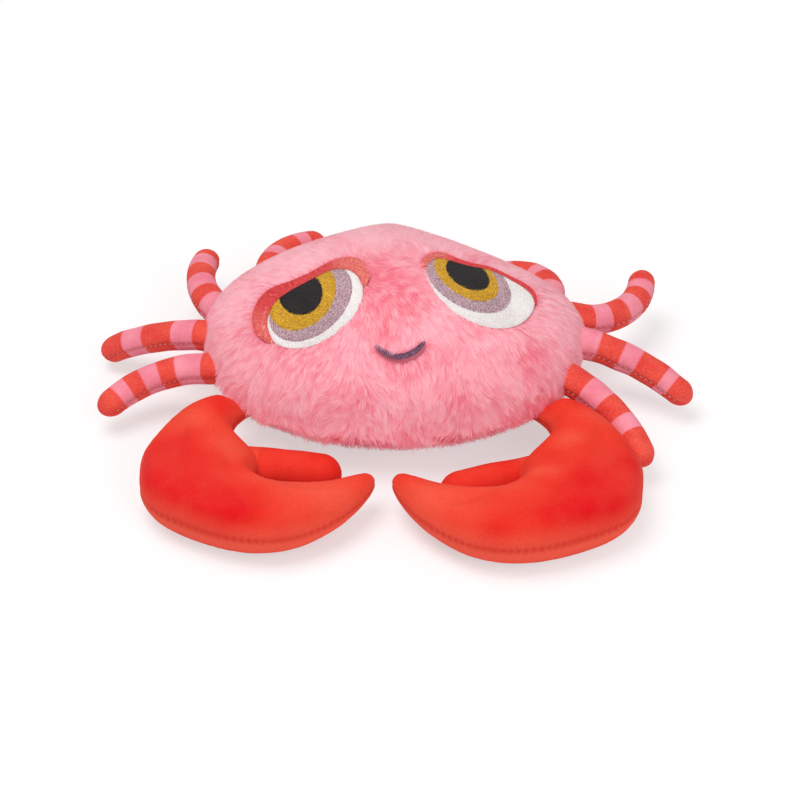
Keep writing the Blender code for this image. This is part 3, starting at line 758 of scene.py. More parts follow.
def big_mesh(name, points, quads, triangles, material, lit=None):
    """A smooth-shaded piece from many quads and triangles. It may be lit as if it faced another way."""
    mesh = bpy.data.meshes.new(name)
    mesh.vertices.add(len(points))
    mesh.vertices.foreach_set("co", np.ascontiguousarray(points, np.float32).ravel())
    corners = np.concatenate([quads.ravel(), triangles.ravel()]).astype(np.int32)
    mesh.loops.add(len(corners))
    mesh.loops.foreach_set("vertex_index", corners)
    sizes = np.concatenate([np.full(len(quads), 4), np.full(len(triangles), 3)]).astype(np.int32)
    mesh.polygons.add(len(sizes))
    mesh.polygons.foreach_set("loop_start", np.concatenate([[0], np.cumsum(sizes)[:-1]]).astype(np.int32))
    mesh.update(calc_edges=True)
    mesh.shade_smooth()
    if lit is not None:
        mesh.normals_split_custom_set_from_vertices(lit.tolist())
    mesh.materials.append(material)
    made = bpy.data.objects.new(name, mesh)
    bpy.context.scene.collection.objects.link(made)
    return made


def gathered(roots, ends, spacing, pull):
    """Ends drawn together into locks: each towards the end of the lock that its root is in."""
    wander = np.column_stack([ripple(roots, spacing * 3, k) for k in (5, 6, 7)])
    cells = np.round((roots + 0.4 * spacing * wander) / spacing)
    _, lock, size = np.unique(cells, axis=0, return_inverse=True, return_counts=True)
    lock = lock.reshape(-1)
    sums = np.zeros((len(size), 3))
    np.add.at(sums, lock, ends)
    return ends + (sums[lock] / size[lock][:, None] - ends) * pull[:, None], lock


long_pile = Stuff("long_pile", 0.8, 0.2, "FFC0CA")
along_strand, paleness_and_top_light, rosiness = long_pile.tones()
colour = long_pile.add("ValToRGB", {"Fac": along_strand})["Color"]
ramp = colour.node.color_ramp
ramp.elements.new(0.5)
for stop, place, shade in zip(ramp.elements, PILE_STOPS, PILE_ROOT_SHADE_TO_TIP):
    stop.position, stop.color = place, dye(shade)
colour = long_pile.blend(paleness_and_top_light, colour, dye(PALE_PILE_AND_TOP_LIGHT))
pile_stuff = long_pile.finish(long_pile.blend(rosiness, colour, dye(ROSY_PILE)))

# The outlines on the chart that the pile keeps off: lids, open eyes and mouth
fences = []
for side in ("left", "right"):
    lower, upper = lid_lines(side)
    fences.append(grown(smooth_loop([*lower[::4], *upper[::-4]], 0.002), -LID_OVERLAP))
    eye_loop = oval(EYE_FIELDS[side][0], chart_place(EYE_PLACES[side]), 0, 80)
    covered = inside(lid_cover(side), eye_loop)
    eye_loop[covered] = nearest_on(np.vstack([lower, upper[::-1]]), eye_loop[covered])[0]
    fences.append(grown(smooth_loop(eye_loop, 0.002), -EYE_OVERLAP))
fences.append(grown(mouth_loop, MOUTH_MARGIN))

# The ground of the pile: the cloth itself, which sinks to the threads at the embroidery
in_front = body_normals @ FACING > 0
chart_gap = np.full(len(pile_top), 1.0)
for loop in fences:
    gap = np.linalg.norm(on_chart(pile_top) - nearest_on(loop, on_chart(pile_top))[0], axis=1)
    gap[inside(loop, on_chart(pile_top))] = 0
    chart_gap[in_front] = np.minimum(chart_gap, gap)[in_front]
bank = np.clip((chart_gap - GROUND_MARGIN) / GROUND_BANK, 0, 1)
cloth_depth = PILE_DEPTH + (GROUND_DEPTH - PILE_DEPTH) * eased(bank)
cloth_points = pile_top - body_normals * cloth_depth[:, None]

knit = Stuff("pile_ground", 0.9)
knit_colour = knit.blend(knit.blotches(60, 3, 0.3, 0.7), dye("F2788A"), dye("F98FA2"))
body_cloth = mesh_piece("body_cloth", cloth_points, body_skin, knit.finish(knit_colour, 900, 0.0004))
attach(body_cloth, "root")
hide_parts("body")


def grow_pile(wanted, count):
    """Roots of the pile on the wanted faces, with their normals, depths, brushed ways and lean."""
    bearings = np.column_stack([body_normals, cloth_depth])
    roots, mixed = roots_on(cloth_points, body_skin, bearings, wanted, count)
    normals, depth = mixed[:, :3], mixed[:, 3]
    normals = normals / np.linalg.norm(normals, axis=1)[:, None]
    ways, upright = brushed(roots, normals)
    keep, ways, lean = kept_off(roots, normals, ways, fences)
    return [values[keep] for values in (roots, normals, depth, ways, lean, upright)]


def laid_strands(roots, normals, depth, ways, lean, upright, front):
    """Roots, middles and tips of the strands, and the lock that each one gathers into."""
    stray = flattened(random.normal(size=roots.shape), normals)
    ways = flattened(ways + stray * (0.10 + 0.25 * front + 0.3 * upright)[:, None], normals)
    length = PILE_LENGTH * random.uniform(0.8, 1.12, len(roots)) * (1 + 0.12 * ripple(roots, 0.02, 9))
    reach = length * (0.85 - 0.12 * front) * lean * (1 - 0.1 * upright)
    height = depth * random.uniform(0.84, 1.06, len(roots)) * (1 + 0.08 * front * ripple(roots, 0.006, 8))
    height *= 1 - 1.3 * (1 - lean)
    height += TUFT_RISE * near_spot(roots, on_face([chart_place(TUFT)], 0)[0], TUFT_SPREAD)
    roots = roots - normals * ROOT_DEPTH
    middles = roots + normals * (height * 0.74)[:, None] + ways * (reach * 0.36)[:, None]
    tips = roots + normals * height[:, None] + ways * reach[:, None]
    at_rim = np.exp(-(((roots[:, 2] - RIM_HEIGHT) / RIM_TUFT_SPREAD) ** 2))
    tips += ways * (RIM_TUFTS * at_rim * np.clip(ripple(roots, 0.009, 33), 0, 1))[:, None]
    tips, lock = gathered(roots, tips, LOCK_SPACING, TIP_GATHER[0] + TIP_GATHER[1] * front)
    middles, _ = gathered(roots, middles, LOCK_SPACING, MIDDLE_GATHER[0] + MIDDLE_GATHER[1] * front)
    for points in (roots, middles, tips):
        points[:, 2] = np.maximum(points[:, 2], CLEAR_OF_FLOOR)
    return roots, middles, tips, lock


def pile_shades(roots, lock, upright, front):
    """How pale each strand is, with painted light on the top, and how rosy, between 0 and 1."""
    lock_tone = np.random.default_rng(11).uniform(-1, 1, lock.max() + 1)[lock]
    # Painted light: the pile is paler towards the top of the back, where the light falls
    painted_top_light = np.clip((roots @ UPWARD - 0.015) / 0.07, 0, 0.7)
    pale = 0.25 + 0.9 * painted_top_light * (1 - upright) + 0.28 * lock_tone + random.uniform(-0.3, 0.3, len(roots))
    between_eyes = near_spot(roots, on_face([chart_place(ROSY_MIDDLE)], 0)[0], ROSY_SPREAD)
    rosy = (0.35 * upright + 0.65 * between_eyes) * (1 + 0.5 * ripple(roots, 0.005, 16))
    rosy += 0.7 * near_spot(roots, RED_MIDDLE, RED_SPREAD) + 0.25 * ripple(roots, 0.028, 15) + 0.22 * front
    rosy -= 0.34 * lock_tone * (0.5 + front) + random.uniform(-0.3, 0.3, len(roots))
    return np.clip(pale, 0, 1), np.clip(rosy, 0, 1)


def set_pile(name, roots, normals, depth, ways, lean, upright, curved):
    """One area of pile, in curved strands that gather into locks, or in fine straight spikes."""
    front = to_front(roots, 0.6)
    roots, middles, tips, lock = laid_strands(roots, normals, depth, ways, lean, upright, front)
    shades = pile_shades(roots, lock, upright, front)
    width = STRAND_WIDTH * random.uniform(0.75, 1.2, len(roots))
    rings, along = ((roots, 0.7),), [0.1, 0.1, 0.1, 1.0]
    if curved:
        rings, along = ((roots, 0.48), (middles, 0.6)), [0.0, 0.0, 0.0, 0.55, 0.55, 0.55, 1.0]
    tilt = np.random.default_rng(19).normal(size=(lock.max() + 1, 3))[lock]
    lit = normals + np.array([0, 0, 1]) * 1.1 * np.clip(0.45 - normals[:, 2:], 0, 1) + 0.08 * tilt
    lit /= np.linalg.norm(lit, axis=1)[:, None]
    lit = np.repeat(lit, len(along), axis=0)
    piece = big_mesh(name, *strand_mesh(rings, tips, normals, width), pile_stuff, lit)
    tones = (np.tile(along, len(roots)), *(np.repeat(shade, len(along)) for shade in shades))
    tinted(piece, np.column_stack(tones))
    piece.visible_shadow = False
    piece.visible_diffuse = False
    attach(piece, "root")
    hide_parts("body")


# The face has long strands. The back's and the belly's pile lies finer.
skin_middles = cloth_points[body_skin].mean(1)
on_back_panel = np.arange(len(body_skin)) < len(body_faces)
face_part = on_back_panel & (skin_middles[:, 1] < FACE_EDGE)
pile_areas = (
    ("pile_face", face_part, FACE_STRANDS, True),
    ("pile_back", on_back_panel & ~face_part, BACK_SPIKES, False),
    ("pile_belly", ~on_back_panel, BELLY_SPIKES, False),
)
for area, wanted, count, curved in pile_areas:
    grown_pile = grow_pile(wanted, count)
    strip = np.digitize(grown_pile[0][:, 0], STRIP_EDGES)
    for place, side in enumerate(("left", "middle", "right")):
        set_pile(area + "_" + side, *(values[strip == place] for values in grown_pile), curved)


# Claws
# Each claw is cut as one flat hook from two panels of short velour, sewn round, turned and stuffed. Its
# arm is sewn into the body's rim. The seam shows as a fine pulled-in line round the edge.
CLAW_OUTWARDS = {"left": -1, "right": 1}
CLAW_SPANS = {"left": 0.112, "right": 0.119}
CLAW_BEARINGS = {"left": 210.0, "right": -32.0}
CLAW_TURNS = {"left": 0.0, "right": 4.0}
CLAW_HALF_THICKNESS = 0.0185
CLAW_SEAM_HEIGHT = 0.0175
SHOULDER_HEIGHT = 0.027
SHOULDER_RUN = 0.050
CLAW_TUCK = 0.016
CLAW_SPACING = 0.0018
THUMB_ROOTS = {"left": (-0.05, 0.24), "right": (-0.05, 0.265)}
THUMB_HEADINGS = {"left": -6.0, "right": 195.0}
# Velour colours. The deep and light ones are the nap's own tones, and also painted shade and painted
# highlight.
CLAW_COLOURS = {"main": "E6321F", "deep_nap_and_shade": "DC0812", "light": "EC5540", "seam": "CC2C1E"}
SEAM_PULL = 0.0004
SEAM_ROWS = (0.00025, 0.0006, 0.0013, 0.0028)
PUCKER_RUN = 0.00085
PUCKER_RISE = 0.00012
DENT = 0.0009

# The palm is drawn over the thumb's root. The arm sinks into the pile where it passes the rim.
WEB_REACH = 0.013
WEB_PULL = 0.0075
WEB_SINK = 0.0065
ROOT_START = 0.008
ROOT_RUN = 0.014
ROOT_SINK = 0.005
ROOT_PINCH = 0.3

# How the stuffed velour settles as cloth. It is held at the seam and free some way in from it.
SETTLE_FRAMES = 20
SETTLE_PRESSURE = 3.0
SETTLE_SHRINK = 0.04
SETTLE_MOST = 0.0030
SEAM_HOLD = 0.002
SEAM_RUN = 0.014

# The claw's pattern in shares of its span: outwards from the shoulder, and forwards
CLAW_PATTERN = (
    (0.017, -0.045), (0.145, 0.015), (0.245, 0.08), (0.322, 0.175), (0.372, 0.27), (0.38, 0.383),
    (0.365, 0.5), (0.3, 0.6), (0.174, 0.682), (0.009, 0.757), (-0.16, 0.785), (-0.32, 0.752),
    (-0.47, 0.652), (-0.57, 0.535), (-0.62, 0.425), (-0.588, 0.372), (-0.522, 0.4), (-0.417, 0.452),
    (-0.296, 0.478), (-0.174, 0.474), (-0.104, 0.417), (-0.08, 0.335), (-0.045, 0.25), (0.02, 0.155),
    (-0.035, 0.065), (-0.085, 0),
)

# Where a claw is deeper red, from its nap and as painted shade where it faces down and outwards, and where
# it is lighter, from its nap and as painted highlight: place on the pattern, spread both ways, strength
DEEP_NAP_AND_SHADE_PATCHES = {
    "left": ((0.19, 0.59, 0.22, 0.17, 1.4), (0.29, 0.43, 0.13, 0.17, 1.1), (-0.03, 0.70, 0.14, 0.09, 0.9),
             (-0.24, 0.79, 0.04, 0.04, 0.6), (0.04, 0.08, 0.07, 0.06, 0.7), (0.17, 0.30, 0.06, 0.07, 0.4)),
    "right": ((0.26, 0.55, 0.21, 0.16, 1.4), (0.32, 0.36, 0.10, 0.13, 0.7), (0.05, 0.68, 0.14, 0.07, 0.6),
              (-0.20, 0.76, 0.06, 0.06, 0.6), (0.10, 0.05, 0.08, 0.05, 0.4), (0.02, 0.36, 0.03, 0.04, 0.3)),
}
LIGHT_NAP_AND_HIGHLIGHT_PATCHES = {
    "left": ((-0.42, 0.58, 0.20, 0.12, 0.9), (0.00, 0.34, 0.09, 0.08, 0.9), (0.16, 0.20, 0.08, 0.06, 0.7),
             (-0.12, 0.52, 0.14, 0.05, 0.6), (0.33, 0.20, 0.05, 0.08, 0.4)),
    "right": ((-0.46, 0.58, 0.16, 0.12, 0.9), (0.07, 0.27, 0.06, 0.05, 0.8), (-0.02, 0.44, 0.10, 0.03, 0.7),
              (0.16, 0.13, 0.09, 0.05, 0.5), (-0.20, 0.52, 0.12, 0.05, 0.5)),
}


def on_rim(bearing):
    """The point of the body's rim at this bearing from its middle, in degrees from +X."""
    angles = np.degrees(np.arctan2(body_rim[:, 1], body_rim[:, 0]))
    order = np.argsort(angles)
    bearing = (bearing + 180) % 360 - 180
    return np.array([np.interp(bearing, angles[order], body_rim[order, k], period=360) for k in (0, 1)])


def claw_place(side, out, forward):
    """A point of the claw's pattern as a place on the ground."""
    turn = radians(CLAW_TURNS[side])
    away, ahead = out * cos(turn) - forward * sin(turn), out * sin(turn) + forward * cos(turn)
    return on_rim(CLAW_BEARINGS[side]) + CLAW_SPANS[side] * np.array([CLAW_OUTWARDS[side] * away, -ahead])


def on_pattern(side, places):
    """Places on the ground as shares of the claw's pattern, outwards and forwards."""
    turn = radians(CLAW_TURNS[side])
    shares = (places - on_rim(CLAW_BEARINGS[side])) / CLAW_SPANS[side]
    away, ahead = shares[:, 0] * CLAW_OUTWARDS[side], -shares[:, 1]
    return away * cos(turn) + ahead * sin(turn), ahead * cos(turn) - away * sin(turn)


def patched(out, forward, patches):
    """How much of the patches lies at each place of the pattern."""
    total = np.zeros(len(out))
    for at_out, at_forward, wide, long, strength in patches:
        total += strength * np.exp(-(((out - at_out) / wide) ** 2) - ((forward - at_forward) / long) ** 2)
    return np.clip(total, 0, 1)


orange = Stuff("claw_velour", 0.85, 0.10, "FF9080")
# The deep and light tones are the nap's own, and with them painted shade and painted highlight
deep_nap_and_shade, light, seam = orange.tones()
colour = orange.blend(light, dye(CLAW_COLOURS["main"]), dye(CLAW_COLOURS["light"]))
colour = orange.blend(deep_nap_and_shade, colour, dye(CLAW_COLOURS["deep_nap_and_shade"]))
colour = orange.blend(orange.blotches(45, 3, 0.34, 0.68, 0.3), colour, dye(CLAW_COLOURS["light"]))
colour = orange.blend(0.16, colour, orange.blotches(1300, 2, 0.3, 0.7), "OVERLAY")
claw_velour = orange.finish(orange.blend(seam, colour, dye(CLAW_COLOURS["seam"])), 1800, 0.00022)


def settled(piece, held, give):
    """Lets a stuffed piece settle as cloth: held at its seam, and with its own give at each point."""
    before = np.array([tuple(vertex.co) for vertex in piece.data.vertices])
    group = piece.vertex_groups.new(name="seam")
    group.add(held, 1.0, "REPLACE")
    cloth = piece.modifiers.new("cloth", "CLOTH")
    cloth.settings.quality = 6
    cloth.settings.use_pressure = True
    cloth.settings.uniform_pressure_force = SETTLE_PRESSURE
    cloth.settings.shrink_min = -SETTLE_SHRINK
    cloth.settings.effector_weights.gravity = 0
    cloth.settings.vertex_group_mass = "seam"
    cloth.point_cache.frame_start = 1
    cloth.point_cache.frame_end = SETTLE_FRAMES
    for step in range(1, SETTLE_FRAMES + 1):
        bpy.context.scene.frame_set(step)
    shaped = piece.evaluated_get(bpy.context.evaluated_depsgraph_get())
    moved = np.array([tuple(vertex.co) for vertex in shaped.data.vertices]) - before
    piece.modifiers.remove(cloth)
    bpy.context.scene.frame_set(1)
    far = np.linalg.norm(moved, axis=1)
    moved *= (give * np.minimum(1, SETTLE_MOST / np.maximum(far, 1e-9)))[:, None]
    after = before + moved
    after[:, 2] = np.maximum(after[:, 2], CLEAR_OF_FLOOR)
    piece.data.vertices.foreach_set("co", after.ravel())
    piece.data.update()


for side in ("left", "right"):
    root = on_rim(CLAW_BEARINGS[side])
    knots = [claw_place(side, *spot) for spot in CLAW_PATTERN]
    inwards = -root / np.linalg.norm(root)
    knots += [knots[-1] + CLAW_TUCK * inwards, knots[0] + CLAW_TUCK * inwards]
    loop = smooth_loop(knots, CLAW_SPACING)
    flat, faces = cut_panel(loop, CLAW_SPACING, SEAM_ROWS)
    rise = stuffing_rise(flat, faces, len(loop))
    rise = rise / (1 + (rise / CLAW_HALF_THICKNESS) ** 4) ** 0.25
    away = np.clip(np.linalg.norm(flat - root, axis=1) / SHOULDER_RUN, 0, 1)
    middle = SHOULDER_HEIGHT + (CLAW_SEAM_HEIGHT - SHOULDER_HEIGHT) * eased(away)
    nearest, travelled = nearest_on(loop, flat)
    inset = np.linalg.norm(flat - nearest, axis=1)
    ground = np.column_stack([flat, np.zeros(len(flat))])
    pucker = np.sin(travelled / PUCKER_RUN + 1.5 * np.sin(travelled / (20 * PUCKER_RUN)))
    pucker *= PUCKER_RISE * np.exp(-inset / 0.0030) * np.clip(inset / 0.0009, 0, 1)
    dent = DENT * ripple(ground, 0.040, 21) * np.clip(inset / 0.012, 0, 1)
    laid = flat.copy()
    laid[:len(loop)] = grown(loop, -SEAM_PULL)
    web = near_spot(flat, claw_place(side, *THUMB_ROOTS[side]), WEB_REACH)
    heading = radians(THUMB_HEADINGS[side])
    laid += WEB_PULL * web[:, None] * np.array([cos(heading), sin(heading)])
    middle -= WEB_SINK * web
    from_rim = np.linalg.norm(flat - nearest_on(body_rim, flat)[0], axis=1)
    past_rim = np.where(inside(body_rim, flat), from_rim, -from_rim)
    sunk = eased(np.clip((past_rim + ROOT_START) / ROOT_RUN, 0, 1))
    middle -= ROOT_SINK * sunk
    rise *= 1 - ROOT_PINCH * sunk
    top = middle + rise + dent + pucker
    bottom = np.maximum(middle - rise, CLEAR_OF_FLOOR)
    points, skin = sewn_pair(laid, faces, len(loop), top, bottom)
    claw = mesh_piece("claw_" + side + "_velour", points, skin, claw_velour)
    from_edge = np.concatenate([inset, inset[len(loop):]])
    settled(claw, list(range(len(loop))), np.clip((from_edge - SEAM_HOLD) / SEAM_RUN, 0, 1))
    out, forward = on_pattern(side, points[:, :2])
    stitch_marks = 0.6 + 0.25 * np.sin(travelled[:len(loop)] / 0.0006)
    at_seam = np.concatenate([stitch_marks, np.zeros(len(points) - len(loop))])
    below = np.arange(len(points)) >= len(flat)
    # Painted light: the lower panel is lighter towards its edge, and the top panel next to the seam,
    # against the shade that falls where they face down and fold in to the seam. There the strip takes off
    # the painted shade.
    under = np.clip(1 - from_edge / 0.02, 0, 1)
    strip = np.where(below, under, 0.7 * np.clip(1 - from_edge / 0.0035, 0, 1))
    # Deeper red where the nap and painted shade lie, lighter where the nap and painted highlight lie
    deep_nap_and_shade = patched(out, forward, DEEP_NAP_AND_SHADE_PATCHES[side]) * (1 - strip)
    light = np.maximum(patched(out, forward, LIGHT_NAP_AND_HIGHLIGHT_PATCHES[side]), strip)
    tinted(claw, np.column_stack([deep_nap_and_shade, light, at_seam]))
    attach(claw, "root")
    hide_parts("claw_" + side)


# Thumbs
# Each claw has a short second finger: a slim stuffed tube of the same velour. It is sewn into the palm and
# lies in the mouth of the claw.
THUMB_LENGTH = 0.048
THUMB_WIDTH = 0.021
THUMB_THICKNESS = 0.020
THUMB_TUCK = 0.012
THUMB_CURLS = {"left": -6.0, "right": 6.0}
THUMB_SEAM = 0.0085
THUMB_RING_SPACING = 0.0008
THUMB_TIP_RINGS = 16
TUBE_SIDES = 40
TUBE_PUCKER = 0.012
TUBE_PUCKER_PITCH = 0.0032
TUBE_WOBBLE = 0.00025

# The angle round a tube of each side of it, and how far and how near that is to one of its two seams
TURNS = 2 * pi * np.arange(TUBE_SIDES) / TUBE_SIDES
FROM_SEAM = np.abs((TURNS + pi / 2) % pi - pi / 2)
AT_SEAM = np.exp(-((FROM_SEAM / 0.10) ** 2))

Limb = namedtuple("Limb", "bearing height heading curl pitch lift stripes")


def direction(limb, share):
    """The way that a limb points at a share of its length."""
    share = np.maximum(share, 0)
    heading = np.radians(limb.heading + limb.curl * share)
    pitch = np.radians(limb.pitch + limb.lift * share)
    flat = np.cos(pitch)
    return np.stack([np.cos(heading) * flat, np.sin(heading) * flat, np.sin(pitch)], axis=-1)


def ring_places(length, tuck, width, spacing, tip_rings):
    """Places along a tube for its rings: even, then closer towards the round tip."""
    round_tip = length - width / 2 * (1 - np.sin(np.linspace(0, pi / 2, tip_rings)[1:-1]))
    return np.concatenate([np.arange(-tuck, length - width / 2, spacing), round_tip])


def stuffed_tube(start, limb, length, tuck, cut, taper, places):
    """Rings of a stuffed tube with a round tip, a seam down each side, and a little unevenness."""
    width, thickness = cut
    fine = np.linspace(-tuck, length, 401)
    step = fine[1] - fine[0]
    steps = direction(limb, (fine[:-1] + step / 2) / length) * step
    line = np.vstack([[0, 0, 0], np.cumsum(steps, axis=0)])
    line += start - on_line(line, fine, 0)
    centre = on_line(line, fine, places)
    ahead = direction(limb, places / length)
    aside = np.column_stack([ahead[:, 1], -ahead[:, 0], np.zeros(len(places))])
    aside /= np.linalg.norm(aside, axis=1)[:, None]
    upward = np.cross(aside, ahead)
    past = np.clip(1 - (length - places) / (width / 2), 0, 1)
    girth = (1 + (taper - 1) * np.maximum(places, 0) / length) * np.sqrt(np.maximum(1 - past**2, 0))
    pucker = TUBE_PUCKER * np.sin(2 * pi * places / TUBE_PUCKER_PITCH)[:, None]
    pucker = pucker * np.exp(-((FROM_SEAM / 0.45) ** 2)) * np.clip(FROM_SEAM / 0.12, 0, 1)
    share = (1 - 0.10 * AT_SEAM + pucker) * girth[:, None]
    points = centre[:, None] + aside[:, None] * (np.cos(TURNS) * share * width / 2)[..., None]
    points = points + upward[:, None] * (np.sin(TURNS) * share * thickness / 2)[..., None]
    wobble = TUBE_WOBBLE * ripple(points.reshape(-1, 3), 0.016, 31).reshape(share.shape) * girth[:, None]
    return points + upward[:, None] * wobble[..., None], line


def tube_skin(rings, tail, tip):
    """Points and faces of a tube from its rings, closed by a fan at each end."""
    count = len(rings)
    sides = np.arange(TUBE_SIDES)
    after = (sides + 1) % TUBE_SIDES
    lows = np.arange(count - 1)[:, None] * TUBE_SIDES
    highs = lows + TUBE_SIDES
    quads = np.stack([lows + after, lows + sides, highs + sides, highs + after], axis=-1)
    last = (count - 1) * TUBE_SIDES
    root_fan = np.column_stack([sides, after, np.full(TUBE_SIDES, count * TUBE_SIDES)])
    tip_fan = np.column_stack([last + after, last + sides, np.full(TUBE_SIDES, count * TUBE_SIDES + 1)])
    points = np.vstack([rings.reshape(-1, 3), tail, tip])
    return points, quads.reshape(-1, 4), np.vstack([root_fan, tip_fan])


for side in ("left", "right"):
    limb = Limb(0, 0, THUMB_HEADINGS[side], THUMB_CURLS[side], 0, 0, ())
    start = (*claw_place(side, *THUMB_ROOTS[side]), THUMB_THICKNESS / 2)
    places = ring_places(THUMB_LENGTH, THUMB_TUCK, THUMB_WIDTH, THUMB_RING_SPACING, THUMB_TIP_RINGS)
    cut = (THUMB_WIDTH, THUMB_THICKNESS)
    rings, line = stuffed_tube(start, limb, THUMB_LENGTH, THUMB_TUCK, cut, 1, places)
    rings[..., 2] = np.maximum(rings[..., 2], CLEAR_OF_FLOOR)
    thumb = big_mesh("thumb_" + side + "_velour", *tube_skin(rings, line[0], line[-1]), claw_velour)
    past_seam = np.clip((places - THUMB_SEAM) / 0.0008, 0, 1)[:, None]
    # Painted shade: past its seam the thumb is deeper red, where it lies in the shade of the claw, and
    # deepest underneath
    deep_nap_and_shade = past_seam * (0.75 - 0.45 * np.clip(np.sin(TURNS), 0, 1))
    light = (1 - past_seam) * np.full(TUBE_SIDES, 0.3)
    round_seam = np.exp(-(((places - THUMB_SEAM) / 0.0004) ** 2))[:, None]
    seam = np.maximum(0.7 * AT_SEAM * past_seam, round_seam)
    tones = np.stack([deep_nap_and_shade, light, seam], axis=-1).reshape(-1, 3)
    tinted(thumb, np.vstack([tones, [(0.3, 0.3, 0), (0.5, 0, 0)]]))
    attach(thumb, "root")
    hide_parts("claw_thumb_" + side)


# Legs
# Eight slim tubes of velour printed in red and pink stripes, each from two halves sewn down both sides,
# stuffed and sewn into the body's rim. The stripes of the two halves don't quite meet at the seams.
LEG_LENGTH = 0.060
LEG_WIDTH = 0.0162
LEG_THICKNESS = 0.0154
LEG_TAPER = 0.84
LEG_TUCK = 0.014
STRIPE_SLIP = 0.0011
STRIPE_BLUR = 0.0003
LEG_RING_SPACING = 0.0006
LEG_TIP_RINGS = 14
STRIPE_RED = ("DE3A32", "E8503F")
STRIPE_PINK = ("E97C90", "F092A2")
NAP_SPECK = "FAB4A8"
LEG_SEAM = "C22A34"
LEG_THREAD = "F6BDB6"
LEG_STITCH_PITCH = 0.0030
LEG_STITCH_LENGTH = 0.0017
LEG_STITCH_WIDTH = 0.0005

# How each leg lies, and the widths of its stripes from the tip in millimetres, red first
LEGS = {
    "leg_left_1": Limb(142, 0.028, 102, -84, -2, -15, (12, 8, 14, 8, 12)),
    "leg_left_2": Limb(166, 0.034, 118, -46, -8, -6, (12, 11, 13, 12, 11)),
    "leg_left_3": Limb(179, 0.032, 160, 5, -12, -25, (17, 12, 17, 12)),
    "leg_left_4": Limb(192, 0.028, 166, 65, -10, -7, (11, 7, 8, 9, 9, 14)),
    "leg_right_1": Limb(25, 0.030, 80, 112, -10, -12, (12, 8, 14, 8, 12)),
    "leg_right_2": Limb(10, 0.031, 7, 87, -15, 24, (11, 7, 8, 9, 10, 9)),
    "leg_right_3": Limb(-2, 0.031, -12, -25, -9, -18, (12, 6, 14, 9, 12)),
    "leg_right_4": Limb(-19, 0.029, -32, -43, -12, -5, (18, 9, 12, 12)),
}

# The hidden leg's hump shows a little further out than its root
LEG_SHIFTS = {"leg_right_1": (0.004, 0.0)}

striped = Stuff("striped_velour", 0.85, 0.10, "FFB0A8")
pinkness, thread_share, seam = striped.tones()
nap = striped.blotches(90, 3, 0.35, 0.65)
red, pink = (striped.blend(nap, dye(dark), dye(light)) for dark, light in (STRIPE_RED, STRIPE_PINK))
colour = striped.blend(pinkness, red, pink)
specks = striped.blotches(1900, 1, 0.54, 0.70, 0.22)
for amount, shade in ((specks, NAP_SPECK), (seam, LEG_SEAM), (thread_share, LEG_THREAD)):
    colour = striped.blend(amount, colour, dye(shade))
leg_velour = striped.finish(colour, 1600, 0.0003)


def seam_stitches(rings, places):
    """Closed stitches that lie in the seams down both sides of a tube."""
    starts = np.arange(0.002, places[-1] - 0.006, LEG_STITCH_PITCH)
    stitches_made = []
    for corner in (0, TUBE_SIDES // 2):
        stitch = []
        for step, share in ((0, 0.5), (0.5, 1.0), (1, 0.5)):
            spots = starts + step * LEG_STITCH_LENGTH
            at, centre = (on_line(line, places, spots) for line in (rings[:, corner], rings.mean(1)))
            out = (at - centre) / np.linalg.norm(at - centre, axis=1)[:, None]
            lift = np.array([0, 0, LEG_STITCH_WIDTH / 2 * share])
            stitch += [at - lift, at + out * (0.8 * LEG_STITCH_WIDTH * share + 0.0002), at + lift]
        stitches_made.append(np.stack(stitch, axis=1).reshape(-1, 3))
    return np.vstack(stitches_made), *stitch_faces(2 * len(starts))


for name, limb in LEGS.items():
    start = (*(on_rim(limb.bearing) + LEG_SHIFTS.get(name, (0, 0))), limb.height)
    ends = LEG_LENGTH - np.cumsum(limb.stripes) / 1000
    places = ring_places(LEG_LENGTH, LEG_TUCK, LEG_WIDTH, LEG_RING_SPACING, LEG_TIP_RINGS)
    cut = (LEG_WIDTH, LEG_THICKNESS)
    rings, line = stuffed_tube(start, limb, LEG_LENGTH, LEG_TUCK, cut, LEG_TAPER, places)
    points, quads, caps = tube_skin(rings, line[0], line[-1])
    stitch_points, stitch_quads, stitch_caps = seam_stitches(rings, places)
    quads = np.vstack([quads, stitch_quads + len(points)])
    caps = np.vstack([caps, stitch_caps + len(points)])
    leg = big_mesh(name + "_velour", np.vstack([points, stitch_points]), quads, caps, leg_velour)
    slipped = places[:, None] + STRIPE_SLIP * (TURNS > pi)
    pinkness = np.zeros(slipped.shape)
    for order, end in enumerate(ends):
        crossed = np.clip((end - slipped) / STRIPE_BLUR + 0.5, 0, 1)
        pinkness += crossed if order % 2 == 0 else -crossed
    in_seam = 0.35 * AT_SEAM * np.ones((len(places), 1))
    tones = np.stack([pinkness, np.zeros(slipped.shape), in_seam], axis=-1).reshape(-1, 3)
    thread_tones = np.tile([0.0, 0.8, 0.0], (len(stitch_points), 1))
    tinted(leg, np.vstack([tones, [(0, 0, 0), (0, 0, 0)], thread_tones]))
    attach(leg, "root")
    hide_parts(name)


# Stage
# A pale floor, soft studio light and the camera. They aren't part of the crab.
FLOOR_HALF = 3.0
WHITE_FROM = 0.12
WHITE_TO = 0.34
CAMERA_DISTANCE = 1.4
CAMERA_LENS = 126

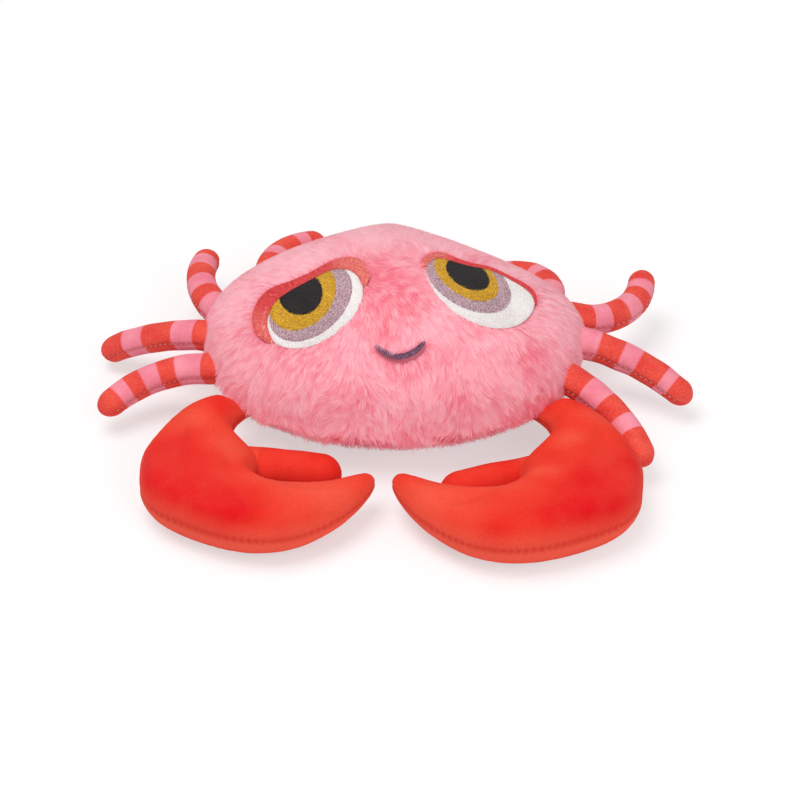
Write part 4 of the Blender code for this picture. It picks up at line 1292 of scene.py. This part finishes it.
# The paper turns to pure white for the camera away from the crab, and keeps its shadow near it
paper = Stuff("floor_paper", 0.9)
paper.finish((0.96, 0.96, 0.96, 1))
reach = paper.add("VectorMath", {0: paper.add("TexCoord", {})["Object"]}, operation="LENGTH")["Value"]
fade = paper.add("MapRange", {"Value": reach, "From Min": WHITE_FROM, "From Max": WHITE_TO, "To Min": 0.5})
seen = paper.add("LightPath", {})["Is Camera Ray"]
white = paper.add("Emission", {})["Emission"]
paper.mixed(paper.product(seen, fade["Result"]), paper.shader.outputs["BSDF"], white, "Material Output")
corners = [(x * FLOOR_HALF, y * FLOOR_HALF, 0) for x, y in ((-1, -1), (1, -1), (1, 1), (-1, 1))]
floor = mesh_piece("floor", corners, [(0, 1, 2, 3)], paper.made)

camera = bpy.data.objects.new("camera", bpy.data.cameras.new("camera"))
bpy.context.scene.collection.objects.link(camera)
target = Vector((0.003, -0.010, 0))
camera.location = target + Vector(FACING) * CAMERA_DISTANCE
camera.rotation_euler = (target - camera.location).to_track_quat("-Z", "Y").to_euler()
camera.data.lens = CAMERA_LENS
bpy.context.scene.camera = camera


def soft_light(name, place, size, power):
    """A round soft lamp that shines on the crab."""
    lamp = bpy.data.lights.new(name, "AREA")
    lamp.shape = "DISK"
    lamp.size = size
    lamp.energy = power
    made = bpy.data.objects.new(name, lamp)
    bpy.context.scene.collection.objects.link(made)
    made.location = place
    made.rotation_euler = (Vector((0, 0, 0.03)) - made.location).to_track_quat("-Z", "Y").to_euler()


soft_light("key", Vector((-0.40, -0.12, 1.50)), 1.0, 13.5)
soft_light("fill", Vector((0.7, -1.0, 0.9)), 1.0, 5.2)

# Soft white light from all round. The camera sees it as pure white.
studio = bpy.data.worlds.new("studio")
bpy.context.scene.world = studio
studio.use_nodes = True
around = Finish(studio.node_tree)
plain = around.tree.nodes["Background"]
around.give(plain, {"Color": (1, 1, 1, 1), "Strength": 0.5})
white = around.add("Background", {})["Background"]
seen = around.add("LightPath", {})["Is Camera Ray"]
around.mixed(seen, plain.outputs["Background"], white, "World Output")
bpy.context.scene.view_settings.view_transform = "Standard"
